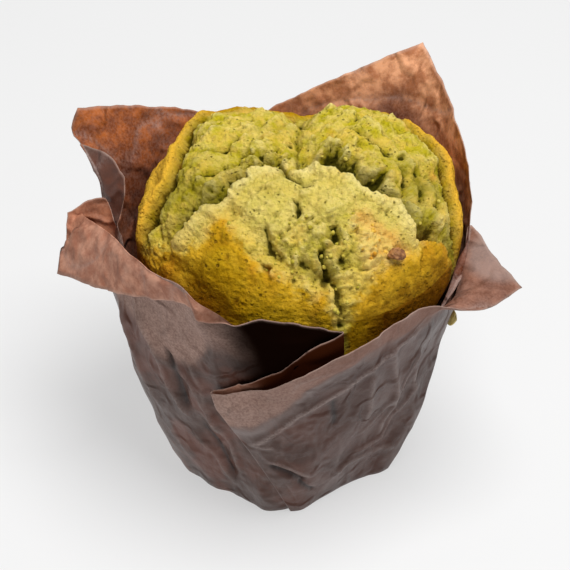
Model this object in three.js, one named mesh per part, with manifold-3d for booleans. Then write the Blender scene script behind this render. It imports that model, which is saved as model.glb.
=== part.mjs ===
// A muffin in a folded tulip paper case. Millimetres, +Z up, origin under the middle of the base.
// The front of the object faces -Y. Azimuth 0 is +X and grows towards +Y.
import * as THREE from "three";
import { mergeVertices } from "three/addons/utils/BufferGeometryUtils.js";
import Module from "manifold-3d";

const wasm = await Module();
wasm.setup();

// Driving sizes of the case
const PAPER = 0.5;
const LAYER_STEP = 0.9;
const BASE_RADIUS = 23.6;
const FLARE = 13.4;
const FLARE_HEIGHT = 60;
const FLARE_POWER = 0.9;
const LEAN_POWER = 3;
const COLUMN_WIDTH = 4.6;
const WALL_ROWS = 6;
const FLAP_ROWS = 5;

// Driving sizes of the muffin
const GAP = 0.35;
const CROWN_HEIGHT = 79.5;
const SHOULDER_HEIGHT = 57;
const CROWN_RADIUS = { x: 34.2, y: 33.4 };
const CROWN_SHIFT = 2.3;
const SHOULDER_SLACK = 0.6;
const FOOT_ROUND = 3;
const MUFFIN_SIDES = 72;
const CROWN_ROWS = 24;
const SIDE_ROWS = 7;

// Colours
const PAPER_BROWN = 0x6e554c;
const CRUMB_GREEN = 0xb9a64c;
const CRUST_GOLD = 0xc9a548;

const INNER = 0;
const MIDDLE = LAYER_STEP;
const OUTER = 2 * LAYER_STEP;

const clamp01 = (value) => Math.min(1, Math.max(0, value));
const mix = (a, b, t) => a + (b - a) * t;
const smoothstep = (from, to, value) => {
  const t = clamp01((value - from) / (to - from));
  return t * t * (3 - 2 * t);
};

// Radius of the case wall at a height, to the middle of its innermost layer
const wallRadius = (z) => BASE_RADIUS + FLARE * (Math.max(z, 0) / FLARE_HEIGHT) ** FLARE_POWER;

// One upright line of the case: azimuth at the base and at the top of the wall, height of the
// wall, layer at the base and at the top, belly of the wall, point on the rim, and how stiffly
// the flap goes on from the wall. A corner breaks the run of the rim.
const line = (base, top, height, layers, belly, rim, stiffness = 0.35, corner = false) => ({
  values: [base, top, height, ...layers, belly, ...rim, stiffness],
  corner,
});

// The first line of a layer that starts at a fold of another one
const foldedFrom = (fold, layers) => {
  const [base, top, height, , layerTop, belly, x, y, z, stiffness] = fold.values;
  const radius = Math.hypot(x, y);
  const scale = (radius + layers[1] - layerTop) / radius;
  return line(base, top, height, layers, belly, [x * scale, y * scale, z], stiffness);
};

// The fold lines of the four pleats, each at the end of the layer that reaches it first
const rightOuterFold = line(-27, -17, 46, [OUTER, OUTER + 0.3], 0.2, [38.4, -0.4, 60]);
const rightInnerFold = line(-391, -389, 46, [INNER, INNER], 0, [36.9, -7.8, 56.5]);
const frontOuterFold = line(-88, -116, 34, [OUTER, OUTER + 0.8], 0, [-15.5, -31.9, 41]);
const frontInnerFold = line(-86.5, -73, 52, [MIDDLE, MIDDLE], 0, [10.9, -36.2, 60.5]);
const leftInnerFold = line(-186, -185, 44, [INNER, INNER], 0, [-34.9, 3.2, 52]);
const leftOuterFold = line(-183.5, -193, 64, [MIDDLE, OUTER + 0.8], 0.8, [-43.4, 15, 70]);
const backInnerFold = line(-262, -268, 50, [INNER, INNER], 0, [-1.3, 37.4, 56]);
const backOuterFold = line(-256, -250, 50, [MIDDLE, MIDDLE], 0, [-12.8, 37, 58]);

// The front right corner of the sheet flares out and its edge runs down to the front fold
const rightPanel = [
  foldedFrom(rightOuterFold, [OUTER, OUTER + 0.3]),
  line(-32, -22, 49, [OUTER, OUTER], 0.2, [43.3, -6.7, 57]),
  line(-37, -28, 51, [1.4, OUTER], 0.2, [48.8, -13.4, 54], 0.4, true),
  line(-43, -36, 53, [0.7, 1.6], 0.2, [39.9, -21.5, 55], 0.4),
  line(-50, -44, 55, [0.2, 1.5], 0.3, [27.6, -26, 58.8]),
  line(-59, -56, 54, [0, 1.5], 0.4, [21.6, -30.8, 58.4]),
  line(-72, -74, 50, [0.8, OUTER + 0.4], 0.3, [10.4, -37.4, 56]),
  line(-82, -87, 44, [OUTER, OUTER + 0.8], 0.4, [2.1, -38, 51.5]),
  line(-85.5, -100, 38, [OUTER, OUTER + 0.9], 0.3, [-5, -36.4, 45.2]),
  frontOuterFold,
];
const frontMiddleLayer = [
  foldedFrom(frontOuterFold, [MIDDLE, MIDDLE + 0.6]),
  line(-87.6, -105, 38, [MIDDLE, MIDDLE + 0.5], 0, [-7.9, -34.4, 46]),
  line(-87.2, -91, 44, [MIDDLE, MIDDLE + 0.2], 0, [-0.7, -36, 51]),
  line(-86.8, -82, 49, [MIDDLE, MIDDLE], 0, [4.2, -37, 57]),
  frontInnerFold,
];

// The front left corner is creased at the top of the wall and hangs outwards
const leftPanel = [
  foldedFrom(frontInnerFold, [INNER, INNER]),
  line(-93, -87, 56, [INNER, INNER], 0, [2.1, -36.7, 63.4]),
  line(-101, -98, 57, [INNER, INNER], 0, [-5, -36, 64]),
  line(-108, -108, 58, [INNER, INNER], 0, [-11.1, -35.8, 64.2]),
  line(-115, -116, 64, [INNER, 0.2], 0.2, [-16.2, -33.8, 65], 0.1),
  line(-124, -126, 66, [INNER, -2.1], 0.6, [-19.6, -30.2, 63.4], 0.08),
  line(-135, -138, 66, [INNER, -2.7], 1.2, [-25.6, -24.7, 60.2], 0.08),
  line(-148, -152, 66, [0.3, -1.9], 2, [-34, -18, 56.4], 0.08),
  line(-160, -164, 64.5, [0.6, -0.9], 2.2, [-39.4, -11.6, 53], 0.08),
  line(-173, -178, 62, [0.8, 3.4], 2, [-47.9, -3, 49.5], 0.08, true),
  line(-179, -184.5, 60.3, [0.8, 6.6], 1.4, [-47, 1.2, 56], 0.1),
  line(-181, -186.5, 58, [0.7, 6.6], 1.2, [-46.9, 3.9, 60.6], 0.2, true),
  line(-183, -187, 54, [0.5, 2.6], 1, [-40.5, 5.4, 61.6], 0.3),
  line(-184.6, -186, 49, [0.3, 1.1], 0.5, [-38.2, 3.6, 56], 0.3),
  leftInnerFold,
];
const leftMiddleLayer = [foldedFrom(leftInnerFold, [MIDDLE, MIDDLE]), leftOuterFold];
leftMiddleLayer[0].values[8] += 8;

// The back left corner stands up
const backLeftPanel = [
  foldedFrom(leftOuterFold, [OUTER, OUTER + 1.5]),
  line(-188, -197, 62, [OUTER, OUTER + 1.2], 0.8, [-46.3, 19.4, 71.4]),
  line(-192, -202, 60, [OUTER, OUTER + 1], 0.6, [-44.9, 21, 75.6], 0.35, true),
  line(-202, -213, 58, [1.5, 1.2], 0.3, [-34.9, 27.6, 72]),
  line(-212, -226, 58, [1.2, 0.4], 0, [-27.9, 30.5, 69.5]),
  line(-226, -238, 56, [0.7, 0], 0, [-21.3, 33.8, 66.5]),
  line(-244, -252, 52, [0.2, 0], 0, [-12, 36.5, 61]),
  backInnerFold,
];
const backMiddleLayer = [foldedFrom(backInnerFold, [MIDDLE, MIDDLE]), backOuterFold];

// The back right corner stands highest
const backRightPanel = [
  foldedFrom(backOuterFold, [OUTER, OUTER]),
  line(-266, -268, 56, [OUTER, OUTER], 0, [-1, 40, 64.5]),
  line(-278, -281, 59, [1.6, 1.5], 0, [8, 39.8, 69.4]),
  line(-290, -294, 60, [1.4, 1.2], 0, [18.8, 39.8, 75]),
  line(-302, -306, 60, [1.2, 0.9], 0.2, [30, 40.2, 80], 0.35, true),
  line(-313, -318, 60, [1, 1], 0.2, [33.3, 30.2, 77.2]),
  line(-328, -333, 60, [0.8, 1.2], 0.3, [36.5, 17.4, 73.4]),
  line(-344, -348, 59, [0.5, 1.4], 0.4, [38.3, 7.2, 70.2], 0.35, true),
  line(-365, -362, 54, [0.2, 1], 0.4, [38, 1.6, 62.5]),
  rightInnerFold,
];
const rightMiddleLayer = [
  foldedFrom(rightInnerFold, [MIDDLE, MIDDLE]),
  line(-387, -377, 46, [MIDDLE, MIDDLE + 0.5], 0.2, [37.3, -0.4, 59.4]),
];

const LAYERS = [
  rightPanel,
  frontMiddleLayer,
  leftPanel,
  leftMiddleLayer,
  backLeftPanel,
  backMiddleLayer,
  backRightPanel,
  rightMiddleLayer,
];

const polar = (radius, degrees, z) => {
  const angle = THREE.MathUtils.degToRad(degrees);
  return new THREE.Vector3(radius * Math.cos(angle), radius * Math.sin(angle), z);
};

const wallPoint = ([base, top, height, layerBase, layerTop, belly], t) => {
  const z = height * t;
  const out = mix(layerBase, layerTop, t ** LEAN_POWER) + belly * Math.sin(Math.PI * t ** 1.2);
  return polar(wallRadius(z) + out, mix(base, top, t), z);
};

// Points of one upright line, from the base over the wall to the rim
function columnPoints(values) {
  const rim = new THREE.Vector3(...values.slice(6, 9));
  const stiffness = values[9];
  const points = [];
  for (let row = 0; row <= WALL_ROWS; row += 1) {
    points.push(wallPoint(values, (row / WALL_ROWS) ** 1.25));
  }
  const top = points[WALL_ROWS];
  const up = top.clone().sub(wallPoint(values, 0.9)).normalize();
  const control = top.clone().addScaledVector(up, stiffness * rim.distanceTo(top));
  const curve = new THREE.QuadraticBezierCurve3(top, control, rim);
  for (let row = 1; row <= FLAP_ROWS; row += 1) {
    points.push(curve.getPoint(row / FLAP_ROWS));
  }
  return points;
}

// Values between two lines of a layer, on a smooth curve that a corner breaks
function between(layer, index, t) {
  const [a, b] = [layer[index], layer[index + 1]];
  const before = index > 0 && !a.corner ? layer[index - 1] : null;
  const after = index + 2 < layer.length && !b.corner ? layer[index + 2] : null;
  return a.values.map((from, slot) => {
    const to = b.values[slot];
    const leave = before ? (to - before.values[slot]) / 2 : to - from;
    const arrive = after ? (after.values[slot] - from) / 2 : to - from;
    const h = t * t * (3 - 2 * t);
    return from + (to - from) * h + leave * t * (1 - t) ** 2 - arrive * t * t * (1 - t);
  });
}

function layerColumns(layer) {
  const columns = [columnPoints(layer[0].values)];
  for (let index = 0; index + 1 < layer.length; index += 1) {
    const from = columnPoints(layer[index].values);
    const to = columnPoints(layer[index + 1].values);
    const width = Math.max(...from.map((point, row) => point.distanceTo(to[row])));
    const steps = Math.max(1, Math.round(width / COLUMN_WIDTH));
    for (let step = 1; step <= steps; step += 1) {
      columns.push(columnPoints(between(layer, index, step / steps)));
    }
  }
  return columns;
}

// The column at the nose of a fold, half a step beyond the two layers that it joins
function foldNose(before, last, first) {
  return last.map((point, row) => {
    const along = point.clone().sub(before[row]).normalize();
    const half = point.distanceTo(first[row]) / 2;
    return point.clone().lerp(first[row], 0.5).addScaledVector(along, Math.min(half, LAYER_STEP / 2));
  });
}

function sheetColumns() {
  const layers = LAYERS.map(layerColumns);
  return layers.flatMap((columns, index) => {
    const next = layers[(index + 1) % layers.length];
    const count = columns.length;
    return [...columns, foldNose(columns[count - 2], columns[count - 1], next[0])];
  });
}

const meshGeometry = (vertices, faces) => {
  const geometry = new THREE.BufferGeometry();
  geometry.setAttribute(
    "position",
    new THREE.Float32BufferAttribute(vertices.flatMap((point) => point.toArray()), 3),
  );
  geometry.setIndex(faces.flat());
  return geometry;
};

// The sheet as a closed thin solid: an outer and an inner skin, a rim and a two-sided base
function paperCaseGeometry() {
  const columns = sheetColumns();
  const count = columns.length;
  const rows = columns[0].length;
  const skins = [[], []];
  columns.forEach((column, index) => {
    const previous = columns[(index + count - 1) % count];
    const next = columns[(index + 1) % count];
    column.forEach((point, row) => {
      const across = next[row].clone().sub(previous[row]);
      const up = column[Math.min(row + 1, rows - 1)].clone().sub(column[Math.max(row - 1, 0)]);
      const normal = up.cross(across);
      if (row === 0) normal.z = 0;
      normal.normalize().multiplyScalar(PAPER / 2);
      skins[0].push(point.clone().add(normal));
      skins[1].push(point.clone().sub(normal));
      if (row === 0) skins[1].at(-1).z = PAPER;
    });
  });
  const vertices = [...skins[0], ...skins[1]];
  const inner = skins[0].length;
  const faces = [];
  for (let column = 0; column < count; column += 1) {
    const here = column * rows;
    const beside = ((column + 1) % count) * rows;
    for (let row = 0; row + 1 < rows; row += 1) {
      const [a, b, c, d] = [here + row, beside + row, beside + row + 1, here + row + 1];
      faces.push([a, c, b], [a, d, c]);
      faces.push([inner + a, inner + b, inner + c], [inner + a, inner + c, inner + d]);
    }
    const [rimHere, rimBeside] = [here + rows - 1, beside + rows - 1];
    faces.push([rimHere, inner + rimBeside, rimBeside], [rimHere, inner + rimHere, inner + rimBeside]);
  }
  for (const [offset, facing] of [[0, -1], [inner, 1]]) {
    const ring = columns.map((column, index) => vertices[offset + index * rows]);
    for (const [i, j, k] of THREE.ShapeUtils.triangulateShape(ring, [])) {
      const turn = ring[j].clone().sub(ring[i]).cross(ring[k].clone().sub(ring[i])).z;
      const corners = [i, j, k].map((index) => offset + index * rows);
      faces.push(turn * facing > 0 ? corners : corners.reverse());
    }
  }
  return meshGeometry(vertices, faces);
}

// The crown is torn in three lobes. Cracks are lines in plan, with a depth and a width.
const LEFT_CRACK = [[1, -4], [-5, -3.5], [-9.5, -9], [-13.5, -13], [-20, -16.5], [-25, -19]];
const RIGHT_CRACK = [[1, -4], [6.2, -3.4], [13, -8.8], [21, -12], [27, -15], [33, -14]];
const BACK_VALLEY = [[1, -4], [1.8, 4], [2.6, 14], [2.8, 26]];
const FRONT_CRACK = [[6, -24], [8.3, -28.5], [10.2, -31], [11, -35]];
const RIM_FURROW = [[-20.5, 12], [-23.5, 4], [-25, -3], [-26, -10]];
const CRACKS = [
  { path: LEFT_CRACK, depth: 4.6, width: 2.4 },
  { path: RIGHT_CRACK, depth: 4.8, width: 2.6 },
  { path: BACK_VALLEY, depth: 2.2, width: 6 },
  { path: FRONT_CRACK, depth: 2.6, width: 2.2 },
  { path: RIM_FURROW, depth: 2.2, width: 2.4 },
];

// Lobes of the crown that stand higher or lower than a smooth dome
const LOBES = [
  { place: [-12, 18, 74], radius: 13, lift: 2.9 },
  { place: [15, 18, 74], radius: 14, lift: 3 },
  { place: [-27, 14, 66], radius: 9, lift: -2.4 },
];

function distanceToPath(x, y, path) {
  let nearest = Infinity;
  for (let index = 0; index + 1 < path.length; index += 1) {
    const [ax, ay] = path[index];
    const [bx, by] = path[index + 1];
    const [dx, dy] = [bx - ax, by - ay];
    const t = clamp01(((x - ax) * dx + (y - ay) * dy) / (dx * dx + dy * dy));
    nearest = Math.min(nearest, Math.hypot(x - ax - t * dx, y - ay - t * dy));
  }
  return nearest;
}

// Uneven lumps of the crumb, as waves in three directions at three sizes
function lumps(x, y, z) {
  let sum = 0;
  for (const [size, height] of [[15, 0.9], [8, 0.6], [5, 0.45]]) {
    const wave = Math.sin(x / size * 6.3 + 1.3 * size) * Math.cos(y / size * 5.6 + size);
    sum += height * (wave + Math.sin(z / size * 6.1 + x / size * 2.7) * 0.5);
  }
  return sum;
}

// How far the crown's surface is moved along its normal at a point
function crownRelief({ x, y, z }) {
  const torn = smoothstep(SHOULDER_HEIGHT - 2, SHOULDER_HEIGHT + 8, z);
  let move = lumps(x, y, z) * mix(0.15, 0.8, torn);
  for (const { place, radius, lift } of LOBES) {
    const away = Math.hypot(x - place[0], y - place[1], z - place[2]) / radius;
    move += lift * Math.exp(-(away ** 2));
  }
  for (const { path, depth, width } of CRACKS) {
    move -= depth * torn * Math.exp(-((distanceToPath(x, y, path) / width) ** 2));
  }
  return move;
}

// The smooth muffin at a height share: 0 is the top of the crown, 1 the middle of its foot
function muffinProfile(share) {
  const crownShare = CROWN_ROWS / (CROWN_ROWS + SIDE_ROWS + 1);
  if (share <= crownShare) {
    const angle = (share / crownShare) * Math.PI / 2;
    const z = mix(SHOULDER_HEIGHT, CROWN_HEIGHT, Math.cos(angle) ** 0.9);
    return { spread: Math.sin(angle) ** 0.92, z };
  }
  const t = clamp01((share - crownShare) * (CROWN_ROWS + SIDE_ROWS + 1) / SIDE_ROWS);
  return { spread: 1, z: mix(SHOULDER_HEIGHT, PAPER + GAP, t) };
}

// Keeps a point of the muffin inside the case, which gives way a little at the shoulder
function insideCase(point) {
  const slack = SHOULDER_SLACK * smoothstep(SHOULDER_HEIGHT - 10, SHOULDER_HEIGHT, point.z);
  const foot = FOOT_ROUND * (1 - smoothstep(0, FOOT_ROUND * 2, point.z)) ** 2;
  const limit = wallRadius(point.z) - PAPER / 2 - GAP + slack - foot;
  const scale = Math.min(1, limit / Math.hypot(point.x, point.y));
  return new THREE.Vector3(point.x * scale, point.y * scale, point.z);
}

function muffinPoint(share, degrees) {
  const { spread, z } = muffinProfile(share);
  const angle = THREE.MathUtils.degToRad(degrees);
  const x = CROWN_SHIFT + CROWN_RADIUS.x * spread * Math.cos(angle);
  const y = CROWN_RADIUS.y * spread * Math.sin(angle);
  return insideCase(new THREE.Vector3(x, y, z));
}

function muffinGeometry() {
  const rows = CROWN_ROWS + SIDE_ROWS;
  const smooth = [];
  for (let row = 1; row <= rows; row += 1) {
    for (let side = 0; side < MUFFIN_SIDES; side += 1) {
      smooth.push(muffinPoint(row / (rows + 1), (360 / MUFFIN_SIDES) * side));
    }
  }
  const centre = new THREE.Vector3(CROWN_SHIFT, 0, SHOULDER_HEIGHT - 22);
  const vertices = smooth.map((point) => {
    if (point.z <= SHOULDER_HEIGHT) return point;
    const outward = point.clone().sub(centre).normalize();
    return insideCase(point.clone().addScaledVector(outward, crownRelief(point)));
  });
  const top = vertices.length;
  const crown = new THREE.Vector3(CROWN_SHIFT, 0, CROWN_HEIGHT);
  crown.z += crownRelief(crown);
  vertices.push(crown, new THREE.Vector3(0, 0, PAPER + GAP));
  const faces = [];
  for (let side = 0; side < MUFFIN_SIDES; side += 1) {
    const beside = (side + 1) % MUFFIN_SIDES;
    faces.push([top, side, beside]);
    for (let row = 0; row + 1 < rows; row += 1) {
      const [a, b] = [row * MUFFIN_SIDES + side, row * MUFFIN_SIDES + beside];
      faces.push([a, a + MUFFIN_SIDES, b + MUFFIN_SIDES], [a, b + MUFFIN_SIDES, b]);
    }
    const last = (rows - 1) * MUFFIN_SIDES;
    faces.push([last + side, top + 1, last + beside]);
  }
  return meshGeometry(vertices, faces);
}

const solidFrom = (geometry) => {
  const bare = geometry.clone();
  bare.deleteAttribute("normal");
  bare.deleteAttribute("uv");
  const merged = mergeVertices(bare);
  return new wasm.Manifold(new wasm.Mesh({
    numProp: 3,
    vertProperties: new Float32Array(merged.attributes.position.array),
    triVerts: new Uint32Array(merged.index.array),
  }));
};

const geometryFrom = (solid) => {
  const { vertProperties, triVerts } = solid.getMesh();
  const geometry = new THREE.BufferGeometry();
  geometry.setAttribute("position", new THREE.BufferAttribute(vertProperties, 3));
  geometry.setIndex(new THREE.BufferAttribute(triVerts, 1));
  return geometry;
};

// A piece of nut that sits in the crust at the front right
const NUT_SIZE = [1.7, 1.2, 1];
const NUT_PLACE = [21.8, -22.9, 70];
function nutGeometry() {
  return new THREE.IcosahedronGeometry(1, 1).scale(...NUT_SIZE).translate(...NUT_PLACE);
}

// A drop of batter that came out at the right pleat and baked on the outside of the case
const DROP_SIZE = [1.3, 2.2, 1.5];
const DROP_PLACE = [34.8, -8.3, 41.8];
function dropGeometry() {
  return new THREE.SphereGeometry(1, 14, 10).scale(...DROP_SIZE).translate(...DROP_PLACE);
}

function namedMesh(name, geometry, color, roughness) {
  geometry.computeVertexNormals();
  const material = new THREE.MeshStandardMaterial({ color, roughness, metalness: 0 });
  const mesh = new THREE.Mesh(geometry, material);
  mesh.name = name;
  return mesh;
}

const muffin = solidFrom(muffinGeometry()).add(solidFrom(nutGeometry()));

const group = new THREE.Group();
group.add(namedMesh("paper_case", paperCaseGeometry(), PAPER_BROWN, 0.8));
group.add(namedMesh("muffin", geometryFrom(muffin), CRUMB_GREEN, 0.85));
group.add(namedMesh("batter_drop", dropGeometry(), CRUST_GOLD, 0.8));

export default group;
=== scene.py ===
import math

import bmesh
import bpy
import numpy as np
from mathutils.geometry import tessellate_polygon
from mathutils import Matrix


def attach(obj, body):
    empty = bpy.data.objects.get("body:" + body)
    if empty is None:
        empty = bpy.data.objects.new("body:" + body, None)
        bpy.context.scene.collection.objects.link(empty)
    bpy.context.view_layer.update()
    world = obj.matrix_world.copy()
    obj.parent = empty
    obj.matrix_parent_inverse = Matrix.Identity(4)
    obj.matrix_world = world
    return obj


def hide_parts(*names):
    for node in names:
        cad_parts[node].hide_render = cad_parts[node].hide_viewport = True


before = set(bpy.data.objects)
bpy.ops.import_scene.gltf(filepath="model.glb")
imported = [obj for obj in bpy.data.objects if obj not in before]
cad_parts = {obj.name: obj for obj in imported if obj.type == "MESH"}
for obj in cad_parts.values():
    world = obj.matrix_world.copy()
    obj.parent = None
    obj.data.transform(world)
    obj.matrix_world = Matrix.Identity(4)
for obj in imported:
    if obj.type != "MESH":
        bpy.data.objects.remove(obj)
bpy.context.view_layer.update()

# The table, the lamp and the camera
# A pale table that glows a little, as one lit from below does, under one wide soft lamp that
# hangs over the muffin in a dim white room. The camera looks down at the front at 39 degrees.
MM = 0.001
WHITE = (1, 1, 1, 1)
TABLE_WIDTH = 6000
TABLE_WHITE = (0.33, 0.33, 0.33, 1)
TABLE_GREY = (0.31, 0.31, 0.31, 1)
TABLE_CLOUD = 180
TABLE_ROUGHNESS = 0.6
TABLE_GLOW = 0.55
ROOM_STRENGTH = 0.175
LAMP_PLACE = (150, -110, 870)
LAMP_WIDTH = 560
LAMP_POWER = 8.6
CAMERA_PLACE = (-0.5, -334.17, 314.41)
CAMERA_TURN = (51, 0, 0)
CAMERA_FOCAL = 125.68
CAMERA_SENSOR = 36


class Wire:
    """An output of a shader node. Arithmetic with it adds Math nodes."""

    def __init__(self, finish, socket):
        self.finish = finish
        self.socket = socket

    def math(self, operation, *values):
        return self.finish.math(operation, *values)

    def __add__(self, other):
        return self.math("ADD", self, other)

    def __sub__(self, other):
        return self.math("SUBTRACT", self, other)

    def __rsub__(self, other):
        return self.math("SUBTRACT", other, self)

    def __mul__(self, other):
        return self.math("MULTIPLY", self, other)

    __radd__ = __add__
    __rmul__ = __mul__


class Finish:
    """A material that is built up from nodes."""

    def __init__(self, name):
        self.material = bpy.data.materials.new(name)
        self.material.use_nodes = True
        self.tree = self.material.node_tree
        self.tree.nodes.clear()

    def node(self, kind, settings, sockets, output=0):
        made = self.tree.nodes.new(kind)
        for name, value in settings.items():
            if name == "stops":
                for spare in list(made.color_ramp.elements)[1:]:
                    made.color_ramp.elements.remove(spare)
                made.color_ramp.elements[0].position = value[0][0]
                made.color_ramp.elements[0].color = value[0][1]
                for position, colour in value[1:]:
                    made.color_ramp.elements.new(position).color = colour
            else:
                setattr(made, name, value)
        for key, value in sockets.items():
            if isinstance(value, Wire):
                self.tree.links.new(value.socket, made.inputs[key])
            else:
                made.inputs[key].default_value = value
        return Wire(self, made.outputs[output] if made.outputs else None)

    def math(self, operation, *values):
        settings = {"operation": operation}
        return self.node("ShaderNodeMath", settings, dict(enumerate(values)))

    def near(self, place, radius):
        """Goes from 1 round a place in millimetres to 0 at a radius from it."""
        middle = [part * MM for part in place]
        settings = {"operation": "DISTANCE"}
        away = self.node("ShaderNodeVectorMath", settings, {0: self.place(), 1: middle}, 1)
        return self.step(away, radius * 0.6 * MM, radius * MM, 1, 0)

    def attribute(self, name):
        return self.node("ShaderNodeAttribute", {"attribute_name": name}, {}, "Fac")

    def place(self, stretch=(1, 1, 1)):
        """The point of the piece, in sizes of the pattern for each direction."""
        coordinates = self.node("ShaderNodeTexCoord", {}, {}, "Object")
        settings = {"operation": "MULTIPLY"}
        return self.node("ShaderNodeVectorMath", settings, {0: coordinates, 1: stretch})

    def noise(self, size, detail=2, roughness=0.5, stretch=(1, 1, 1)):
        """Cloudy variation from 0 to 1, with its largest spots of a size in millimetres."""
        sockets = {
            "Vector": self.place(stretch),
            "Scale": 1 / (size * MM),
            "Detail": detail,
            "Roughness": roughness,
        }
        return self.node("ShaderNodeTexNoise", {}, sockets)

    def cells(self, size):
        """Distance to the nearest of scattered spots, in sizes of their spacing."""
        sockets = {"Vector": self.place(), "Scale": 1 / (size * MM)}
        return self.node("ShaderNodeTexVoronoi", {}, sockets)

    def step(self, value, start, end, low=0, high=1):
        """Goes smoothly from low to high while value goes from start to end."""
        settings = {"interpolation_type": "SMOOTHSTEP"}
        sockets = {0: value, 1: start, 2: end, 3: low, 4: high}
        return self.node("ShaderNodeMapRange", settings, sockets)

    def blend(self, first, second, share):
        sockets = {0: share, 6: first, 7: second}
        return self.node("ShaderNodeMix", {"data_type": "RGBA"}, sockets, 2)

    def coats(self, colour, *coats):
        """Lays coats of colour over a first one, each by its share."""
        for coat, share in coats:
            colour = self.blend(colour, coat, share)
        return colour

    def bump(self, height, depth, under=None):
        sockets = {"Height": height, "Distance": depth * MM, "Strength": 1}
        if under is not None:
            sockets["Normal"] = under
        return self.node("ShaderNodeBump", {}, sockets)

    def surface(self, sockets, second=None, share=None):
        """Ends the material, with a second shader laid over it by a share."""
        shader = self.node("ShaderNodeBsdfPrincipled", {}, sockets)
        if second is not None:
            shader = self.node("ShaderNodeMixShader", {}, {0: share, 1: shader, 2: second})
        self.node("ShaderNodeOutputMaterial", {}, {"Surface": shader})
        return self.material


def make_piece(name, vertices, faces, material, attributes):
    """A smooth mesh in metres, from vertices in millimetres."""
    mesh = bpy.data.meshes.new(name)
    mesh.from_pydata((np.asarray(vertices, float) * MM).tolist(), [], faces)
    mesh.polygons.foreach_set("use_smooth", [True] * len(mesh.polygons))
    for label, values in attributes.items():
        layer = mesh.attributes.new(label, "FLOAT", "POINT")
        layer.data.foreach_set("value", np.asarray(values, np.float32).ravel())
    mesh.materials.append(material)
    mesh.validate()
    mesh.update()
    made = bpy.data.objects.new(name, mesh)
    bpy.context.scene.collection.objects.link(made)
    return made


def make_lamp(name, place, width, power):
    light = bpy.data.lights.new(name, "AREA")
    light.shape = "DISK"
    light.size = width * MM
    light.energy = power
    lamp = bpy.data.objects.new(name, light)
    lamp.location = [part * MM for part in place]
    down = -np.array(place, float) / np.linalg.norm(place)
    pitch = math.acos(-down[2])
    lamp.rotation_euler = (pitch, 0, math.atan2(down[1], down[0]) - math.pi / 2)
    bpy.context.scene.collection.objects.link(lamp)


table_finish = Finish("table_glowing")
table_material = table_finish.surface({
    "Base Color": table_finish.blend(
        TABLE_WHITE, TABLE_GREY, table_finish.noise(TABLE_CLOUD, 1)),
    "Roughness": TABLE_ROUGHNESS,
    "Emission Color": WHITE,
    "Emission Strength": TABLE_GLOW,
})
half = TABLE_WIDTH / 2
table = make_piece(
    "table",
    [(-half, -half, 0), (half, -half, 0), (half, half, 0), (-half, half, 0)],
    [(0, 1, 2, 3)],
    table_material,
    {},
)

room = bpy.data.worlds.new("room")
room.use_nodes = True
room_light = room.node_tree.nodes["Background"].inputs
room_light["Color"].default_value = WHITE
room_light["Strength"].default_value = ROOM_STRENGTH
bpy.context.scene.world = room
bpy.context.scene.view_settings.view_transform = "Standard"
make_lamp("high_lamp", LAMP_PLACE, LAMP_WIDTH, LAMP_POWER)

lens = bpy.data.cameras.new("camera")
lens.sensor_width = CAMERA_SENSOR
lens.lens = CAMERA_FOCAL
camera = bpy.data.objects.new("camera", lens)
camera.location = [part * MM for part in CAMERA_PLACE]
camera.rotation_euler = [math.radians(part) for part in CAMERA_TURN]
bpy.context.scene.collection.objects.link(camera)
bpy.context.scene.camera = camera

# The paper case
# One square of greaseproof paper, pressed over a round former so that its sides gather in
# four flat pleats and its corners stand out as four flaps. Grease has soaked the wall up to
# a ragged line below the rim, where the paper is still dry and speckled.
SHEET = 0.15
LAYER_STEP = 0.9
BASE_RADIUS = 23.6
FLARE = 13.4
FLARE_HEIGHT = 60
FLARE_POWER = 0.9
LEAN_POWER = 3
COLUMN_WIDTH = 0.95
WALL_ROWS = 62
FLAP_ROWS = 26
INNER = 0
MIDDLE = LAYER_STEP
OUTER = 2 * LAYER_STEP
RIM_Z = 8


def wall_radius(z):
    return BASE_RADIUS + FLARE * (np.maximum(z, 0) / FLARE_HEIGHT) ** FLARE_POWER


def mix(a, b, share):
    return a + (b - a) * share


def smoothstep(start, end, value):
    share = np.clip((value - start) / (end - start), 0, 1)
    return share * share * (3 - 2 * share)


def hill(away, width, power=2):
    """1 where away is 0, and falling to nothing over a width."""
    return np.exp(-((away / width) ** power))


def fade_ends(share, length):
    return smoothstep(0, length, share) * smoothstep(0, length, 1 - share)


class Grain:
    """Smooth random variation in space, the same each time for a seed."""

    CELLS = 32

    def __init__(self, seed):
        random = np.random.default_rng(seed)
        slopes = random.normal(size=(self.CELLS,) * 3 + (3,))
        self.slopes = slopes / np.linalg.norm(slopes, axis=-1, keepdims=True)
        self.spots = random.random((self.CELLS,) * 3 + (3,))

    def at(self, points, size):
        """From about -0.8 to 0.8, with waves of a size in millimetres."""
        scaled = np.asarray(points) / size
        low = np.floor(scaled).astype(int)
        part = scaled - low
        fade = part**3 * (part * (part * 6 - 15) + 10)
        total = 0
        for corner in np.ndindex(2, 2, 2):
            index = (low + corner) % self.CELLS
            slope = self.slopes[index[..., 0], index[..., 1], index[..., 2]]
            share = np.where(corner, fade, 1 - fade).prod(-1)
            total = total + share * (slope * (part - corner)).sum(-1)
        return total

    def rough(self, points, size, octaves):
        return sum(self.at(points, size / 2**step) / 2**step for step in range(octaves))

    def nuggets(self, points, size):
        """Distance to the nearest of many scattered spots, and how far it is to the next."""
        scaled = np.asarray(points) / size
        low = np.floor(scaled).astype(int)
        first = np.full(scaled.shape[:-1], 9.0)
        second = first.copy()
        for offset in np.ndindex(3, 3, 3):
            cell = low + offset - 1
            index = cell % self.CELLS
            spot = cell + self.spots[index[..., 0], index[..., 1], index[..., 2]]
            away = np.linalg.norm(spot - scaled, axis=-1)
            second = np.minimum(second, np.maximum(first, away))
            first = np.minimum(first, away)
        return first, second - first


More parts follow.
